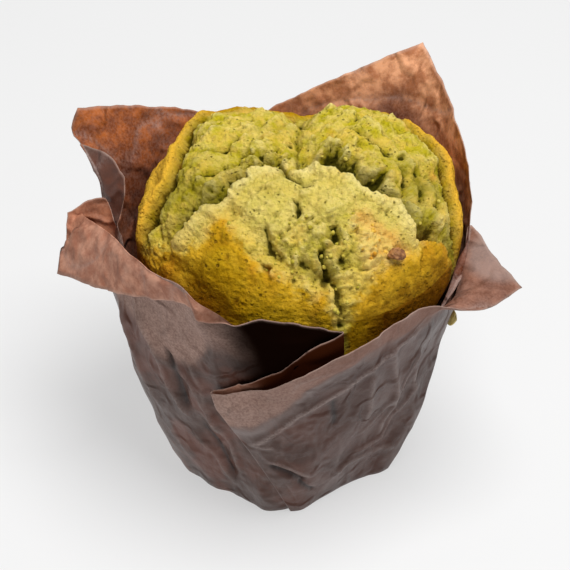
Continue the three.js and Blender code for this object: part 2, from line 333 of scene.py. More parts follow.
def from_path(points, path):
    """Distance of flat points to a path, positive on its left, and the share of its length."""
    path = np.asarray(path, float)
    nearest = np.full(len(points), np.inf)
    side = np.ones(len(points))
    share = np.zeros(len(points))
    runs = np.linalg.norm(np.diff(path, axis=0), axis=1)
    done = 0
    for start, end, run in zip(path[:-1], path[1:], runs):
        along = (end - start) / run
        reach = np.clip((points - start) @ along, 0, run)
        rest = points - start - reach[:, None] * along
        away = np.linalg.norm(rest, axis=1)
        closer = away < nearest
        nearest[closer] = away[closer]
        turn = along[0] * rest[:, 1] - along[1] * rest[:, 0]
        side[closer] = np.sign(turn[closer])
        share[closer] = (done + reach[closer]) / runs.sum()
        done += run
    return nearest * np.where(side == 0, 1, side), share


def line(base, top, height, layers, belly, rim, stiffness=0.35, corner=False):
    """An upright line of the case: where it is at the base and at the top of the wall, how
    high that is, its layer at both, the belly, its point on the rim and how stiffly the
    paper goes on from the wall. A corner breaks the run of the rim."""
    return np.array([base, top, height, *layers, belly, *rim, stiffness], float), corner


def folded_from(fold, layers, lift=0):
    """The first line of a layer that starts at the fold of another one."""
    values = fold[0].copy()
    radius = math.hypot(values[6], values[7])
    values[6:8] *= (radius + layers[1] - values[4]) / radius
    values[RIM_Z] += lift
    values[3:5] = layers
    return values, False


right_outer_fold = line(-27, -17, 46, [OUTER, OUTER + 0.3], 1.3, [38.4, -0.4, 60])
right_inner_fold = line(-391, -389, 46, [INNER, INNER], 0, [36.3, -8.2, 53.5])
front_outer_fold = line(-88, -112.5, 34, [1.4, OUTER + 0.8], 0, [-15.5, -31.9, 41])
front_inner_fold = line(-86.5, -73, 52, [MIDDLE, MIDDLE], 0, [10.9, -36.2, 60.5])
left_inner_fold = line(-186, -185, 44, [INNER, INNER], 0, [-34.9, 3.2, 52])
left_outer_fold = line(-183.5, -193, 64, [MIDDLE, OUTER + 0.8], 0.8, [-43.4, 15, 70])
back_inner_fold = line(-262, -268, 50, [INNER, INNER], 0, [-1.3, 37.4, 56])
back_outer_fold = line(-256, -250, 50, [MIDDLE, MIDDLE], 0, [-12.8, 37, 58])

right_panel = [
    folded_from(right_outer_fold, [OUTER, OUTER + 0.3]),
    line(-32, -22, 49, [0.8, OUTER], 1.2, [43.3, -6.7, 57]),
    line(-37, -28, 51, [-0.8, OUTER], 1.3, [48.8, -13.4, 54], 0.4, True),
    line(-43, -36, 53, [-1.8, 1.6], 1.6, [39.9, -21.5, 55], 0.4),
    line(-50, -44, 55, [-2.4, 1.5], 1.8, [27.6, -26, 58.8]),
    line(-59, -56, 54, [-2.4, 1.5], 1.8, [21.6, -30.8, 58.4]),
    line(-72, -74, 50, [-1.2, OUTER + 0.4], 1.3, [10.4, -37.4, 56]),
    line(-82, -87, 44, [1, OUTER + 0.8], 0.6, [2.1, -38, 51.5]),
    line(-85.5, -99, 38, [1.35, OUTER + 0.9], 0.4, [-5, -36.4, 45.2]),
    front_outer_fold,
]
front_middle_layer = [
    folded_from(front_outer_fold, [MIDDLE, MIDDLE + 0.6]),
    line(-87.6, -105, 38, [MIDDLE, MIDDLE + 0.5], 0, [-7.9, -34.4, 46]),
    line(-87.2, -91, 44, [MIDDLE, MIDDLE + 0.2], 0, [-0.7, -36, 51]),
    line(-86.8, -82, 49, [MIDDLE, MIDDLE], 0, [4.2, -37, 57]),
    front_inner_fold,
]
left_panel = [
    folded_from(front_inner_fold, [INNER, INNER]),
    line(-93, -87, 56, [1, INNER], -0.4, [2.1, -36.7, 63.4]),
    line(-101, -98, 57, [1.6, INNER], -0.8, [-5, -36, 64]),
    line(-108, -108, 63.6, [0.3, INNER], 0, [-11.4, -36.6, 63.6]),
    line(-115, -116, 67, [-0.2, 0.2], 0.3, [-17, -35.7, 64], 0.1),
    line(-124, -126, 67.3, [-0.2, -2.1], 0.8, [-19.6, -30.2, 63.4], 0.08),
    line(-135, -138, 66, [0.3, -2.7], 1.4, [-25.6, -24.7, 60.2], 0.08),
    line(-148, -152, 66, [1.4, -1.9], 2, [-34, -18, 56.4], 0.08),
    line(-160, -164, 64.5, [1.9, -0.9], 2, [-39.4, -11.6, 53], 0.08),
    line(-173, -178, 62, [1.7, 3.4], 1.9, [-47.9, -3, 49.5], 0.08, True),
    line(-179, -184.5, 60.3, [1.2, 6.6], 1.4, [-47, 1.2, 56], 0.1),
    line(-181, -186.5, 58, [0.9, 6.6], 1.2, [-46.9, 3.9, 60.6], 0.2, True),
    line(-183, -187, 54, [0.5, 2.6], 1, [-39.2, 6.8, 62.4], 0.3),
    line(-184.6, -186, 49, [0.3, 1.1], 0.5, [-36.6, 4.8, 57.4], 0.3),
    left_inner_fold,
]
left_middle_layer = [
    folded_from(left_inner_fold, [MIDDLE, MIDDLE], 6),
    line(-185.4, -187, 50, [MIDDLE, MIDDLE + 0.3], 0.2, [-34.2, 4.4, 63.6]),
    line(-185, -188.5, 54, [MIDDLE, MIDDLE + 0.8], 0.4, [-34.4, 6.6, 67.8], 0.35, True),
    line(-184.4, -191, 60, [MIDDLE, OUTER + 0.2], 0.6, [-37.9, 11, 70.6]),
    left_outer_fold,
]
back_left_panel = [
    folded_from(left_outer_fold, [OUTER, OUTER + 1.5]),
    line(-188, -197, 62, [OUTER, OUTER + 1.2], 0.8, [-46.3, 19.4, 71.4]),
    line(-192, -202, 60, [OUTER, OUTER + 1], 0.6, [-44.9, 21, 75.6], 0.35, True),
    line(-202, -213, 58, [1.5, 1.2], 0.3, [-34.9, 27.6, 72]),
    line(-212, -226, 58, [1.2, 0.4], 0, [-27.9, 30.5, 69.5]),
    line(-226, -238, 56, [0.7, 0], 0, [-21.3, 33.8, 66.5]),
    line(-244, -252, 52, [0.2, 0], 0, [-12, 36.5, 61]),
    back_inner_fold,
]
back_middle_layer = [folded_from(back_inner_fold, [MIDDLE, MIDDLE]), back_outer_fold]
back_right_panel = [
    folded_from(back_outer_fold, [OUTER, OUTER]),
    line(-266, -268, 56, [OUTER, OUTER], 0, [-1, 40, 64.5]),
    line(-278, -281, 59, [1.6, 1.5], 0, [8, 39.8, 69.4]),
    line(-290, -294, 60, [1.4, 1.2], 0, [18.8, 39.8, 75]),
    line(-302, -306, 60, [1.2, 0.9], 0.2, [30, 40.2, 80], 0.35, True),
    line(-313, -318, 60, [1, 1], 0.2, [33.3, 30.2, 77.2]),
    line(-328, -333, 60, [0.8, 1.2], 0.3, [36.5, 17.4, 73.4]),
    line(-344, -348, 59, [0.5, 1.4], 0.4, [38.3, 7.2, 70.2], 0.35, True),
    line(-365, -362, 54, [0.2, 1], 1.2, [38, 1.6, 62.5]),
    right_inner_fold,
]
right_middle_layer = [
    folded_from(right_inner_fold, [MIDDLE, MIDDLE]),
    line(-387, -377, 46, [MIDDLE, MIDDLE + 0.5], 0.7, [37.3, -0.4, 59.4]),
]
layers_in_turn = [
    right_panel,
    front_middle_layer,
    left_panel,
    left_middle_layer,
    back_left_panel,
    back_middle_layer,
    back_right_panel,
    right_middle_layer,
]


def wall_points(values, share):
    base, top, height, layer_base, layer_top, belly = values[:, :6, None].swapaxes(0, 1)
    z = height * share
    out = mix(layer_base, layer_top, share**LEAN_POWER) + belly * np.sin(math.pi * share**1.2)
    azimuth = np.radians(mix(base, top, share))
    radius = wall_radius(z) + out
    return np.stack([radius * np.cos(azimuth), radius * np.sin(azimuth), z], -1)


def upright_columns(values):
    """Points of upright lines, from the base over the wall to the rim."""
    wall = wall_points(values, np.linspace(0, 1, WALL_ROWS + 1))
    top = wall[:, -1]
    rim = values[:, 6:9]
    up = top - wall_points(values, np.array([0.9]))[:, 0]
    up /= np.linalg.norm(up, axis=1, keepdims=True)
    reach = values[:, 9:] * np.linalg.norm(rim - top, axis=1, keepdims=True)
    control = top + up * reach
    share = np.linspace(0, 1, FLAP_ROWS + 1)[1:, None, None]
    flap = (1 - share) ** 2 * top + 2 * share * (1 - share) * control + share**2 * rim
    return np.concatenate([wall, flap.swapaxes(0, 1)], axis=1)


def layer_columns(layer):
    values = [entry[0] for entry in layer]
    corners = [entry[1] for entry in layer]
    ends = upright_columns(np.array(values))
    rows = [values[0][None]]
    for index in range(len(layer) - 1):
        start, end = values[index], values[index + 1]
        width = np.linalg.norm(ends[index + 1] - ends[index], axis=1).max()
        steps = max(2, round(width / COLUMN_WIDTH))
        share = (np.arange(steps)[:, None] + 1) / steps
        leave = arrive = end - start
        if index > 0 and not corners[index]:
            leave = (end - values[index - 1]) / 2
        if index + 2 < len(layer) and not corners[index + 1]:
            arrive = (values[index + 2] - start) / 2
        eased = share * share * (3 - 2 * share)
        curved = leave * share * (1 - share) ** 2 - arrive * share**2 * (1 - share)
        rows.append(start + (end - start) * eased + curved)
    return upright_columns(np.concatenate(rows))


def fold_nose(columns, following):
    """The round back of a fold between the end of a layer and the start of the next."""
    along = columns[-1] - columns[-2]
    along /= np.linalg.norm(along, axis=1, keepdims=True)
    first, last = columns[-1], following[0]
    half = np.linalg.norm(last - first, axis=1, keepdims=True) / 2
    half = np.minimum(half, LAYER_STEP / 2)
    nose = []
    for turn in np.radians([45, 90, 135]):
        middle = mix(first, last, (1 - math.cos(turn)) / 2)
        nose.append(middle + along * half * math.sin(turn))
    return np.array(nose)


columns_by_layer = [layer_columns(layer) for layer in layers_in_turn]
strips = []
fold_wear_and_highlight = []
panel_of_strip = []
for index, columns in enumerate(columns_by_layer):
    following = columns_by_layer[(index + 1) % len(columns_by_layer)]
    nose = fold_nose(columns, following)
    strips += [columns, nose]
    fold_wear_and_highlight += [np.zeros(len(columns)), np.array([0.6, 1, 0.6])]
    panel_of_strip += [np.full(len(columns), index), np.full(3, index)]
sheet = np.concatenate(strips)
fold_wear_and_highlight = np.concatenate(fold_wear_and_highlight)
panel = np.concatenate(panel_of_strip)
sheet_rows = WALL_ROWS + 1 + FLAP_ROWS

paper_grain = Grain(11)
# Creases pressed into the wall: turn round the case in degrees and height, then how far
# they stand out, how wide they are and how much wear and painted highlight lie along them
WALL_CREASES = [
    ([(-107, 24), (-86, 37), (-74, 41), (-64, 46), (-51, 50), (-38, 53)], 0.55, 0.9, 0.9),
    ([(-110, 29), (-99, 33), (-84, 41)], 0.2, 0.8, 0),
    ([(-60, 45), (-59, 37), (-56, 26)], 0.8, 1.2, 0.5),
    ([(-54, 54), (-52, 47), (-45, 35), (-41, 27), (-44, 22), (-42, 16)], 0.9, 1.1, 0.5),
    ([(-37, 43), (-40, 37), (-42, 32)], 0.9, 1.0, 0.5),
    ([(-43, 32), (-51, 25), (-59, 22)], 0.7, 1.1, 0.4),
    ([(-35, 38), (-29, 28), (-40, 22), (-40, 15), (-58, 15)], 0.9, 1.1, 0.5),
    ([(-30, 10), (-57, 12), (-66, 9)], 0.8, 1.1, 0.5),
    ([(-98, 19), (-89, 16), (-82, 12)], -1.3, 0.8, 0),
    ([(-97, 21), (-88, 18), (-80, 14)], 0.7, 0.7, 0.6),
    ([(-86, 13), (-77, 7)], -0.9, 0.6, 0),
    ([(-91, 12), (-87, 5)], -0.4, 0.4, 0),
    ([(-74, 40), (-72, 30)], -0.6, 0.7, 0),
    ([(-103, 26), (-95, 26)], 0.35, 0.35, 0.6),
    ([(-127, 45), (-123, 40), (-119, 24)], 1.1, 1.2, 0.4),
    ([(-150, 52), (-141, 44), (-135, 34), (-131, 27)], 1.3, 1.2, 0.5),
    ([(-141, 44), (-128, 40), (-121, 31)], 0.9, 1.0, 0.4),
    ([(-160, 48), (-152, 38), (-147, 24)], 1.2, 1.2, 0.4),
    ([(-121, 31), (-115, 22), (-112, 12)], 1.0, 0.9, 0.4),
    ([(-133, 22), (-124, 15), (-118, 6)], 1.0, 1.1, 0.4),
    ([(-137, 47), (-133, 41), (-130, 30)], -0.9, 0.8, 0.2),
    ([(-126, 27), (-121, 19), (-117, 9)], -0.8, 0.7, 0.2),
    ([(170, 44), (166, 30), (170, 15)], 0.7, 1.2, 0.4),
    ([(150, 50), (146, 36), (141, 22)], 0.8, 1.3, 0.4),
    ([(132, 48), (125, 34), (128, 18)], 0.7, 1.2, 0.4),
    ([(108, 50), (104, 33), (98, 20)], 0.8, 1.3, 0.4),
    ([(84, 52), (74, 38), (78, 22)], 0.8, 1.2, 0.4),
    ([(58, 54), (50, 38), (54, 20)], 0.9, 1.3, 0.4),
    ([(34, 52), (28, 36), (22, 22)], 0.8, 1.2, 0.4),
    ([(8, 50), (2, 34), (8, 18)], 0.8, 1.2, 0.4),
]
# The sharp fold at the front, where the wall lies flat
FRONT_FOLD = [(-116, 41), (-113, 32), (-108, 25), (-103, 17), (-96, 10), (-90, 4)]
FLAT_REACH = 4
UNROLLED_RADIUS = 33
CREASE_WANDER = 0.9
CREASE_END = 0.12
TUCK_DEPTH = -0.5
SWELL_SIZE = 16
SWELL_HEIGHT = 0.9
UPRIGHT_STRETCH = 0.62
# Facets of the crumple: shift of their pattern, size and height
FACETS = ((7, 13, 1.7), (31, 7, 0.75))
FACET_WEAR_AND_HIGHLIGHT = 0.15
WEAR_AND_HIGHLIGHT_WIDTH = 0.5
DEEPEST_LOW_DOWN = -0.95
DEEPEST_HIGH_UP = -0.45


def unroll(path):
    return [(turn * UNROLLED_RADIUS * math.pi / 180, level) for turn, level in path]


def wall_crumple(points):
    """How far the crumpled wall stands out from the smooth one, where it has wear and a
    painted highlight along creases and folds, and where creases pressed in are painted
    dark as shade. All layers at a place move together."""
    azimuth = np.arctan2(points[:, 1], points[:, 0])
    z = points[:, 2]
    on_former = np.stack([
        UNROLLED_RADIUS * np.cos(azimuth),
        UNROLLED_RADIUS * np.sin(azimuth),
        z * UPRIGHT_STRETCH,
    ], -1)
    unrolled = np.stack([np.degrees(azimuth) * UNROLLED_RADIUS * math.pi / 180, z], -1)
    wander = np.stack([
        paper_grain.at(on_former + 50, 6),
        paper_grain.at(on_former + 90, 6),
    ], -1)
    bent = on_former + 2.2 * wander[:, :1] + 1.5 * wander[:, 1:]
    out = SWELL_HEIGHT * paper_grain.at(on_former, SWELL_SIZE)
    worn = np.zeros(len(points))
    tucked = np.zeros(len(points))
    for offset, size, height in FACETS:
        middle, next_one = paper_grain.nuggets(bent + offset, size)
        out += height * (middle - 0.55)
        worn = np.maximum(worn, FACET_WEAR_AND_HIGHLIGHT * hill(next_one * size, WEAR_AND_HIGHLIGHT_WIDTH))
    for path, height, width, crease_wear_and_highlight in WALL_CREASES:
        away, share = from_path(unrolled + CREASE_WANDER * wander, unroll(path))
        ends = fade_ends(share, CREASE_END)
        out += height * (hill(np.abs(away), width, 1.2) * mix(0.35, 1, ends))
        worn = np.maximum(worn, crease_wear_and_highlight * hill(away, WEAR_AND_HIGHLIGHT_WIDTH) * ends)
        # Creases pressed in this deep are painted dark as shade
        if height < TUCK_DEPTH:
            tucked = np.maximum(tucked, hill(away, width) * ends)
    away, _ = from_path(unrolled, unroll(FRONT_FOLD))
    flat = 0.85 * hill(away, FLAT_REACH)
    lowest = np.where(z < 45, DEEPEST_LOW_DOWN, DEEPEST_HIGH_UP)
    return np.maximum(out * (1 - flat), lowest), worn, tucked


# Buckles of the free corners: shift of their pattern, size and height
BUCKLES = ((13, 12, 0.85), (27, 5, 0.4))
FLAP_RIDGE_SIZE = 14
FLAP_RIDGE_HEIGHT = 0.4
HANGS_CLEAR = 0.9
# The ragged cut edge: its depth, the size of its teeth, and its share of each row from the rim
RAGGED_DEPTH = 0.5
RAGGED_SIZE = 3.5
RAGGED_ROWS = ((-1, 1), (-2, 0.7), (-3, 0.4), (-4, 0.15))

count = len(sheet)
flat_sheet = sheet.reshape(-1, 3)
radial = flat_sheet * (1, 1, 0)
radial /= np.linalg.norm(radial, axis=1, keepdims=True)
out, worn, tucked = wall_crumple(flat_sheet)
row_number = np.tile(np.arange(sheet_rows), count)
flap_share = np.clip((row_number - WALL_ROWS) / FLAP_ROWS, 0, 1)
panel_here = np.repeat(panel, sheet_rows)
azimuth_here = np.degrees(np.arctan2(flat_sheet[:, 1], flat_sheet[:, 0]))
off_wall = np.hypot(flat_sheet[:, 0], flat_sheet[:, 1]) - wall_radius(flat_sheet[:, 2])
on_wall = smoothstep(0, 7, flat_sheet[:, 2]) * (1 - smoothstep(60, 72, flat_sheet[:, 2]))
on_wall *= 1 - smoothstep(3.2, 6.5, off_wall) * (flap_share > 0)
# The front left corner is folded down over the wall, and lies on its outside
hangs = (panel_here == 2) * smoothstep(-110, -117, azimuth_here) * (azimuth_here < 0)
follows = np.maximum(on_wall, hangs)
away_from_wall = out * follows + HANGS_CLEAR * hangs * smoothstep(0.2, 0.6, flap_share)
moved = flat_sheet + radial * away_from_wall[:, None]
moved[:, 2] = np.maximum(moved[:, 2], 0)


def sheet_normals(points):
    grid = points.reshape(count, sheet_rows, 3)
    across = np.roll(grid, -1, axis=0) - np.roll(grid, 1, axis=0)
    up = np.gradient(grid, axis=1)
    normal = np.cross(up, across)
    normal[:, 0, 2] = 0
    normal /= np.linalg.norm(normal, axis=-1, keepdims=True)
    return normal.reshape(-1, 3)


# The free corners are buckled and their cut edge is a little ragged
normals = sheet_normals(moved)
buckle = sum(
    height * paper_grain.at(flat_sheet + shift, size) for shift, size, height in BUCKLES)
flap_ridge = hill(np.abs(paper_grain.at(flat_sheet + 61, FLAP_RIDGE_SIZE)), 0.06, 1)
on_flap = smoothstep(0.1, 0.6, flap_share)
moved += normals * ((buckle + FLAP_RIDGE_HEIGHT * flap_ridge) * on_flap)[:, None]
grid = moved.reshape(count, sheet_rows, 3)
rise = grid[:, -1] - grid[:, -2]
rise /= np.linalg.norm(rise, axis=1, keepdims=True)
ragged = RAGGED_DEPTH * paper_grain.rough(grid[:, -1], RAGGED_SIZE, 3)
for row, share in RAGGED_ROWS:
    grid[:, row] += rise * (ragged * share)[:, None]
moved = grid.reshape(-1, 3)
normals = sheet_normals(moved)

# Grease has soaked the wall from below. What is still dry is a band under the rim, wider on
# the left and narrower on the right
STAIN_WAVE = 3.2
STAIN_WAVE_SIZE = 9
DRY_BAND = 9.5
SOAKED_FROM = 13.5
WIDER_LEFT = 16
NARROWER_RIGHT = 6
GREASY_SHEEN_BAND = 12.5
GREASY_SHEEN_WIDTH = 2
EDGE_WIDTH = 0.25
steps_up = np.linalg.norm(np.diff(grid, axis=1), axis=2)
below_rim = np.zeros((count, sheet_rows))
below_rim[:, :-1] = np.cumsum(steps_up[:, ::-1], axis=1)[:, ::-1]
below_rim = below_rim.ravel()
ragged_line = STAIN_WAVE * paper_grain.rough(flat_sheet, STAIN_WAVE_SIZE, 3)
wide_dry = WIDER_LEFT * smoothstep(-112, -125, azimuth_here) * (azimuth_here < 0)
narrow_dry = NARROWER_RIGHT * smoothstep(-105, -60, azimuth_here) * (panel_here == 0)
from_band = below_rim + narrow_dry
soaked = smoothstep(
    DRY_BAND, SOAKED_FROM - 0.4 * narrow_dry, from_band + ragged_line - wide_dry)
soaked *= 1 - smoothstep(50, 58, moved[:, 2] + ragged_line * 0.8)
worn = np.maximum(worn * on_wall, 0.5 * flap_ridge**2 * on_flap)
worn = np.maximum(worn, np.repeat(fold_wear_and_highlight, sheet_rows))
edge = hill(below_rim, EDGE_WIDTH)
from_back = smoothstep(-8, 18, moved[:, 1])
soaked = np.maximum(soaked, 0.75 * (panel_here == 3))
by_the_cake = smoothstep(5, 17, below_rim + 0.6 * ragged_line) * from_back
right_end = (panel_here == 6) * smoothstep(4, -2, moved[:, 1]) * (moved[:, 0] > 0)
by_the_cake = np.maximum(by_the_cake, right_end)
edge *= 1 - 0.8 * right_end
# Behind the open fold at the right the wall lies in the shade, which is painted dark there
shade_behind_fold = right_end * smoothstep(8, 13, moved[:, 2]) * smoothstep(44, 36, moved[:, 2])
tucked = np.maximum(tucked, shade_behind_fold)
azimuth_here = np.degrees(np.arctan2(moved[:, 1], moved[:, 0]))
# The paper in the pocket behind the front fold is soaked with grease and lies in deep shade;
# both are painted in, as a near-black colour under a matte shader with no gloss
pocket = smoothstep(-100, -79, azimuth_here + 0.37 * moved[:, 2] + 0.8 * ragged_line)
pocket *= smoothstep(24, 33, moved[:, 2]) * (azimuth_here < -40)
pocket *= np.isin(panel_here, (1, 2)) * (1 - 0.75 * edge)
# On the right panel a grey strip of painted sheen lies on the greasy paper below the dry band
greasy_sheen_middle = GREASY_SHEEN_BAND - 0.5 * narrow_dry
greasy_strip = hill(from_band + ragged_line * 0.5 - greasy_sheen_middle, GREASY_SHEEN_WIDTH)

# The two skins of the sheet, joined at the rim and closed by a flat base each
outer_skin = moved + normals * (SHEET / 2)
inner_skin = moved - normals * (SHEET / 2)
outer_skin.reshape(count, sheet_rows, 3)[:, 0, 2] = 0
inner_skin.reshape(count, sheet_rows, 3)[:, 0, 2] = SHEET
paper_vertices = np.concatenate([outer_skin, inner_skin])
skin = len(outer_skin)
here = (np.arange(count) * sheet_rows)[:, None] + np.arange(sheet_rows - 1)
beside = np.roll(here, -1, axis=0)
outer_faces = np.stack([here, here + 1, beside + 1, beside], -1).reshape(-1, 4)
inner_faces = skin + np.stack([here, beside, beside + 1, here + 1], -1).reshape(-1, 4)
rim_here = np.arange(count) * sheet_rows + sheet_rows - 1
rim_beside = np.roll(rim_here, -1)
rim_faces = np.stack([rim_here, skin + rim_here, skin + rim_beside, rim_beside], -1)
paper_faces = np.concatenate([outer_faces, inner_faces, rim_faces]).tolist()
for offset, facing in ((0, -1), (skin, 1)):
    ring = paper_vertices[offset + np.arange(count) * sheet_rows]
    for triangle in tessellate_polygon([[tuple(point) for point in ring]]):
        a, b, c = (ring[index] for index in triangle)
        turn = np.cross(b - a, c - a)[2]
        corners = [offset + index * sheet_rows for index in triangle]
        paper_faces.append(corners if turn * facing > 0 else corners[::-1])

BACK_LEFT_DARK = (0.165, 0.034, 0.004, 1)
BACK_LEFT_LIGHT = (0.42, 0.105, 0.012, 1)
BACK_RIGHT_DARK = (0.44, 0.155, 0.058, 1)
BACK_RIGHT_LIGHT = (0.95, 0.460, 0.240, 1)
NEAR_CAKE_DARK = (0.060, 0.008, 0.0005, 1)
NEAR_CAKE_LIGHT = (0.140, 0.026, 0.001, 1)
FRONT_LEFT_DARK = (0.40, 0.155, 0.090, 1)
FRONT_LEFT_LIGHT = (0.68, 0.340, 0.225, 1)
FRONT_RIGHT_DARK = (0.14, 0.050, 0.028, 1)
FRONT_RIGHT_LIGHT = (0.26, 0.112, 0.070, 1)
OUTSIDE_DRY = (0.255, 0.148, 0.116, 1)
OUTSIDE_DRY_LIGHT = (0.52, 0.340, 0.275, 1)
OUTSIDE_SOAKED = (0.082, 0.040, 0.029, 1)
OUTSIDE_SOAKED_RED = (0.155, 0.060, 0.040, 1)
OUTSIDE_DRY_SHADED = (0.210, 0.100, 0.070, 1)
OUTSIDE_SOAKED_SHADED = (0.055, 0.014, 0.005, 1)
PLEAT_RED = (0.150, 0.048, 0.026, 1)
POCKET_BLACK = (0.006, 0.002, 0.001, 1)
POCKET_RED = (0.044, 0.010, 0.003, 1)
WEAR_AND_HIGHLIGHT_TINT = (0.42, 0.330, 0.300, 1)
TUCK_SHADE = (0.020, 0.010, 0.008, 1)
SHEEN_GREY = (0.340, 0.270, 0.245, 1)
FLECK_LIGHT = (0.62, 0.360, 0.260, 1)
GREASY_SHEEN_GREY = (0.28, 0.220, 0.205, 1)
CUT_EDGE = (0.46, 0.340, 0.290, 1)
SHEEN_PLACE = (44, -7, 57.5)
SHEEN_REACH = 8
RED_PLEAT_PLACE = (-37, 8, 66)
RED_PLEAT_REACH = 9

paper = Finish("greaseproof_paper")
blotches = paper.step(paper.noise(3.6, 5, 0.68), 0.36, 0.66)
fibres = paper.noise(0.55, 3, 0.7)
fleck = paper.step(fibres, 0.3, 0.7)
clouds = paper.noise(11, 3, 0.55)
to_right = paper.attribute("to_right")
soak = paper.attribute("soaked")
inside = paper.attribute("inside")
# Each corner of the inside is painted with its own light: the back right one glows orange as
# if lit through the paper, the back left one is in painted shade, the front left one is
# painted lit and the front right one is in painted shade.
inside_colour = paper.blend(
    paper.blend(
        paper.blend(FRONT_LEFT_DARK, FRONT_LEFT_LIGHT, blotches),
        paper.blend(FRONT_RIGHT_DARK, FRONT_RIGHT_LIGHT, blotches), to_right),
    paper.blend(
        paper.blend(BACK_LEFT_DARK, BACK_LEFT_LIGHT, blotches),
        paper.blend(BACK_RIGHT_DARK, BACK_RIGHT_LIGHT, blotches), to_right),
    paper.attribute("from_back"),
)
near_cake_colour = paper.blend(NEAR_CAKE_DARK, NEAR_CAKE_LIGHT, blotches)
inside_colour = paper.coats(
    inside_colour,
    (near_cake_colour, paper.attribute("by_the_cake") * 0.95),
    (FLECK_LIGHT, fleck * 0.15),
    # A painted grey sheen on the upper part of the front right corner
    (SHEEN_GREY, paper.near(SHEEN_PLACE, SHEEN_REACH) * 0.45),
)
dry_colour = paper.coats(
    OUTSIDE_DRY,
    (OUTSIDE_DRY_LIGHT, fleck * 0.7 + blotches * 0.2),
    (OUTSIDE_DRY_SHADED, to_right * 0.75),
)
soaked_colour = paper.coats(
    OUTSIDE_SOAKED,
    (OUTSIDE_SOAKED_RED, paper.step(clouds, 0.42, 0.62)),
    (OUTSIDE_SOAKED_SHADED, to_right * 0.8),
)
sheet_colour = paper.coats(
    dry_colour,
    (soaked_colour, soak),
    (GREASY_SHEEN_GREY, paper.attribute("greasy_strip") * 0.7),
    (PLEAT_RED, paper.near(RED_PLEAT_PLACE, RED_PLEAT_REACH) * 0.75),
    (inside_colour, inside),
    # Light lines of wear and painted highlight along creases, folds, ridges and facet edges
    (WEAR_AND_HIGHLIGHT_TINT, paper.attribute("worn") * paper.step(fibres, 0.2, 0.6) * 0.75),
    # Painted shade in creases pressed into the wall and behind the open fold
    (TUCK_SHADE, paper.attribute("tucked") * 0.95),
    (CUT_EDGE, paper.attribute("edge") * 0.45),
)
gloss = 0.72 - soak * 0.36 * (1 - inside) + (fibres - 0.5) * 0.22
crinkle = paper.noise(3.2, 3, 0.6, (1, 1, 0.6))
ridge_noise = paper.noise(9, 2, 0.45, (1, 1, 0.7)) - 0.5
ridges = paper.step(paper.math("ABSOLUTE", ridge_noise), 0, 0.09, 1, 0)
fine_bump = paper.bump(fibres * 0.6 + blotches * 0.4, 0.05)
# Painted shade of the pocket, near black on the front wall and red-brown on the middle layer
pocket_colour = paper.blend(POCKET_BLACK, POCKET_RED, paper.attribute("middle_layer"))
soaked_and_shaded_black = paper.node("ShaderNodeBsdfDiffuse", {}, {"Color": pocket_colour})
paper_material = paper.surface({
    "Base Color": sheet_colour,
    "Roughness": gloss,
    "Specular IOR Level": 0.27,
    "Normal": paper.bump(crinkle, 0.22, paper.bump(ridges, 0.4, fine_bump)),
}, soaked_and_shaded_black, paper.attribute("pocket"))


def both_skins(values):
    return np.concatenate([values, values])


paper_case = make_piece("case_paper", paper_vertices, paper_faces, paper_material, {
    "inside": np.repeat([0, 1], skin),
    "soaked": both_skins(soaked),
    "worn": both_skins(worn),
    "edge": both_skins(edge),
    "from_back": both_skins(from_back),
    "to_right": both_skins(smoothstep(-12, 12, moved[:, 0])),
    "by_the_cake": both_skins(by_the_cake),
    "middle_layer": both_skins(panel_here == 1),
    "tucked": both_skins(tucked * on_wall),
    "pocket": both_skins(pocket),
    "greasy_strip": both_skins(greasy_strip * soaked * (panel == 0).repeat(sheet_rows)),
})
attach(paper_case, "root")
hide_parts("paper_case")

# The muffin
# A green tea batter that rose over the case and burst. Its crust is golden where it baked
# first, and three lobes of moist yellow-green crumb stand between the cracks.
GAP = 0.35
CROWN_HEIGHT = 79.5
SHOULDER_HEIGHT = 57
CROWN_RADIUS = (34.2, 33.4)
CROWN_SHIFT = 2.3
FOOT_ROUND = 3
SIDES = 470
CROWN_ROWS = 172
SIDE_ROWS = 24
SIDE_INSET = 1.1
TIGHT_FOOT = 2.4
HEART_HEIGHT = 35

# The edge between the golden crust and the torn crumb, seen from above
TORN = [
    (-19.8, 18), (-21.8, 14.5), (-22.8, 11.4), (-24.1, 4.1), (-25, 0.7), (-26, -1.1),
    (-27.2, -3.5), (-28.2, -4.8), (-29.2, -6.8), (-29.8, -8), (-30, -9.4), (-28, -13.3),
    (-24.6, -16.4), (-21, -19.6), (-17.8, -20.8), (-16, -20.4), (-14.6, -17.2),
    (-12.7, -17.5), (-11.5, -18.9), (-10.1, -22), (-8.9, -24.4), (-6.5, -26.6),
    (-4.2, -28.3), (-2.1, -29.2), (0.1, -30.3), (3.9, -31.3), (6.6, -31.6), (9.2, -33),
    (11.3, -34.5), (12.4, -32), (13.4, -30.2), (16.1, -28.1), (18.8, -25.6), (20.9, -23.9),
    (23.4, -21.6), (26.4, -18.8), (28.4, -16.6), (30.4, -15.1), (32.4, -13.6),
    (34.6, -11.8), (35.7, -8.6), (35.6, -4.8), (34.8, 1.8), (32.2, 8.6), (28.5, 14.4),
    (22.6, 21.4), (15, 27), (8, 28), (3, 28), (-3, 26.6), (-9, 25), (-14.5, 22),
]
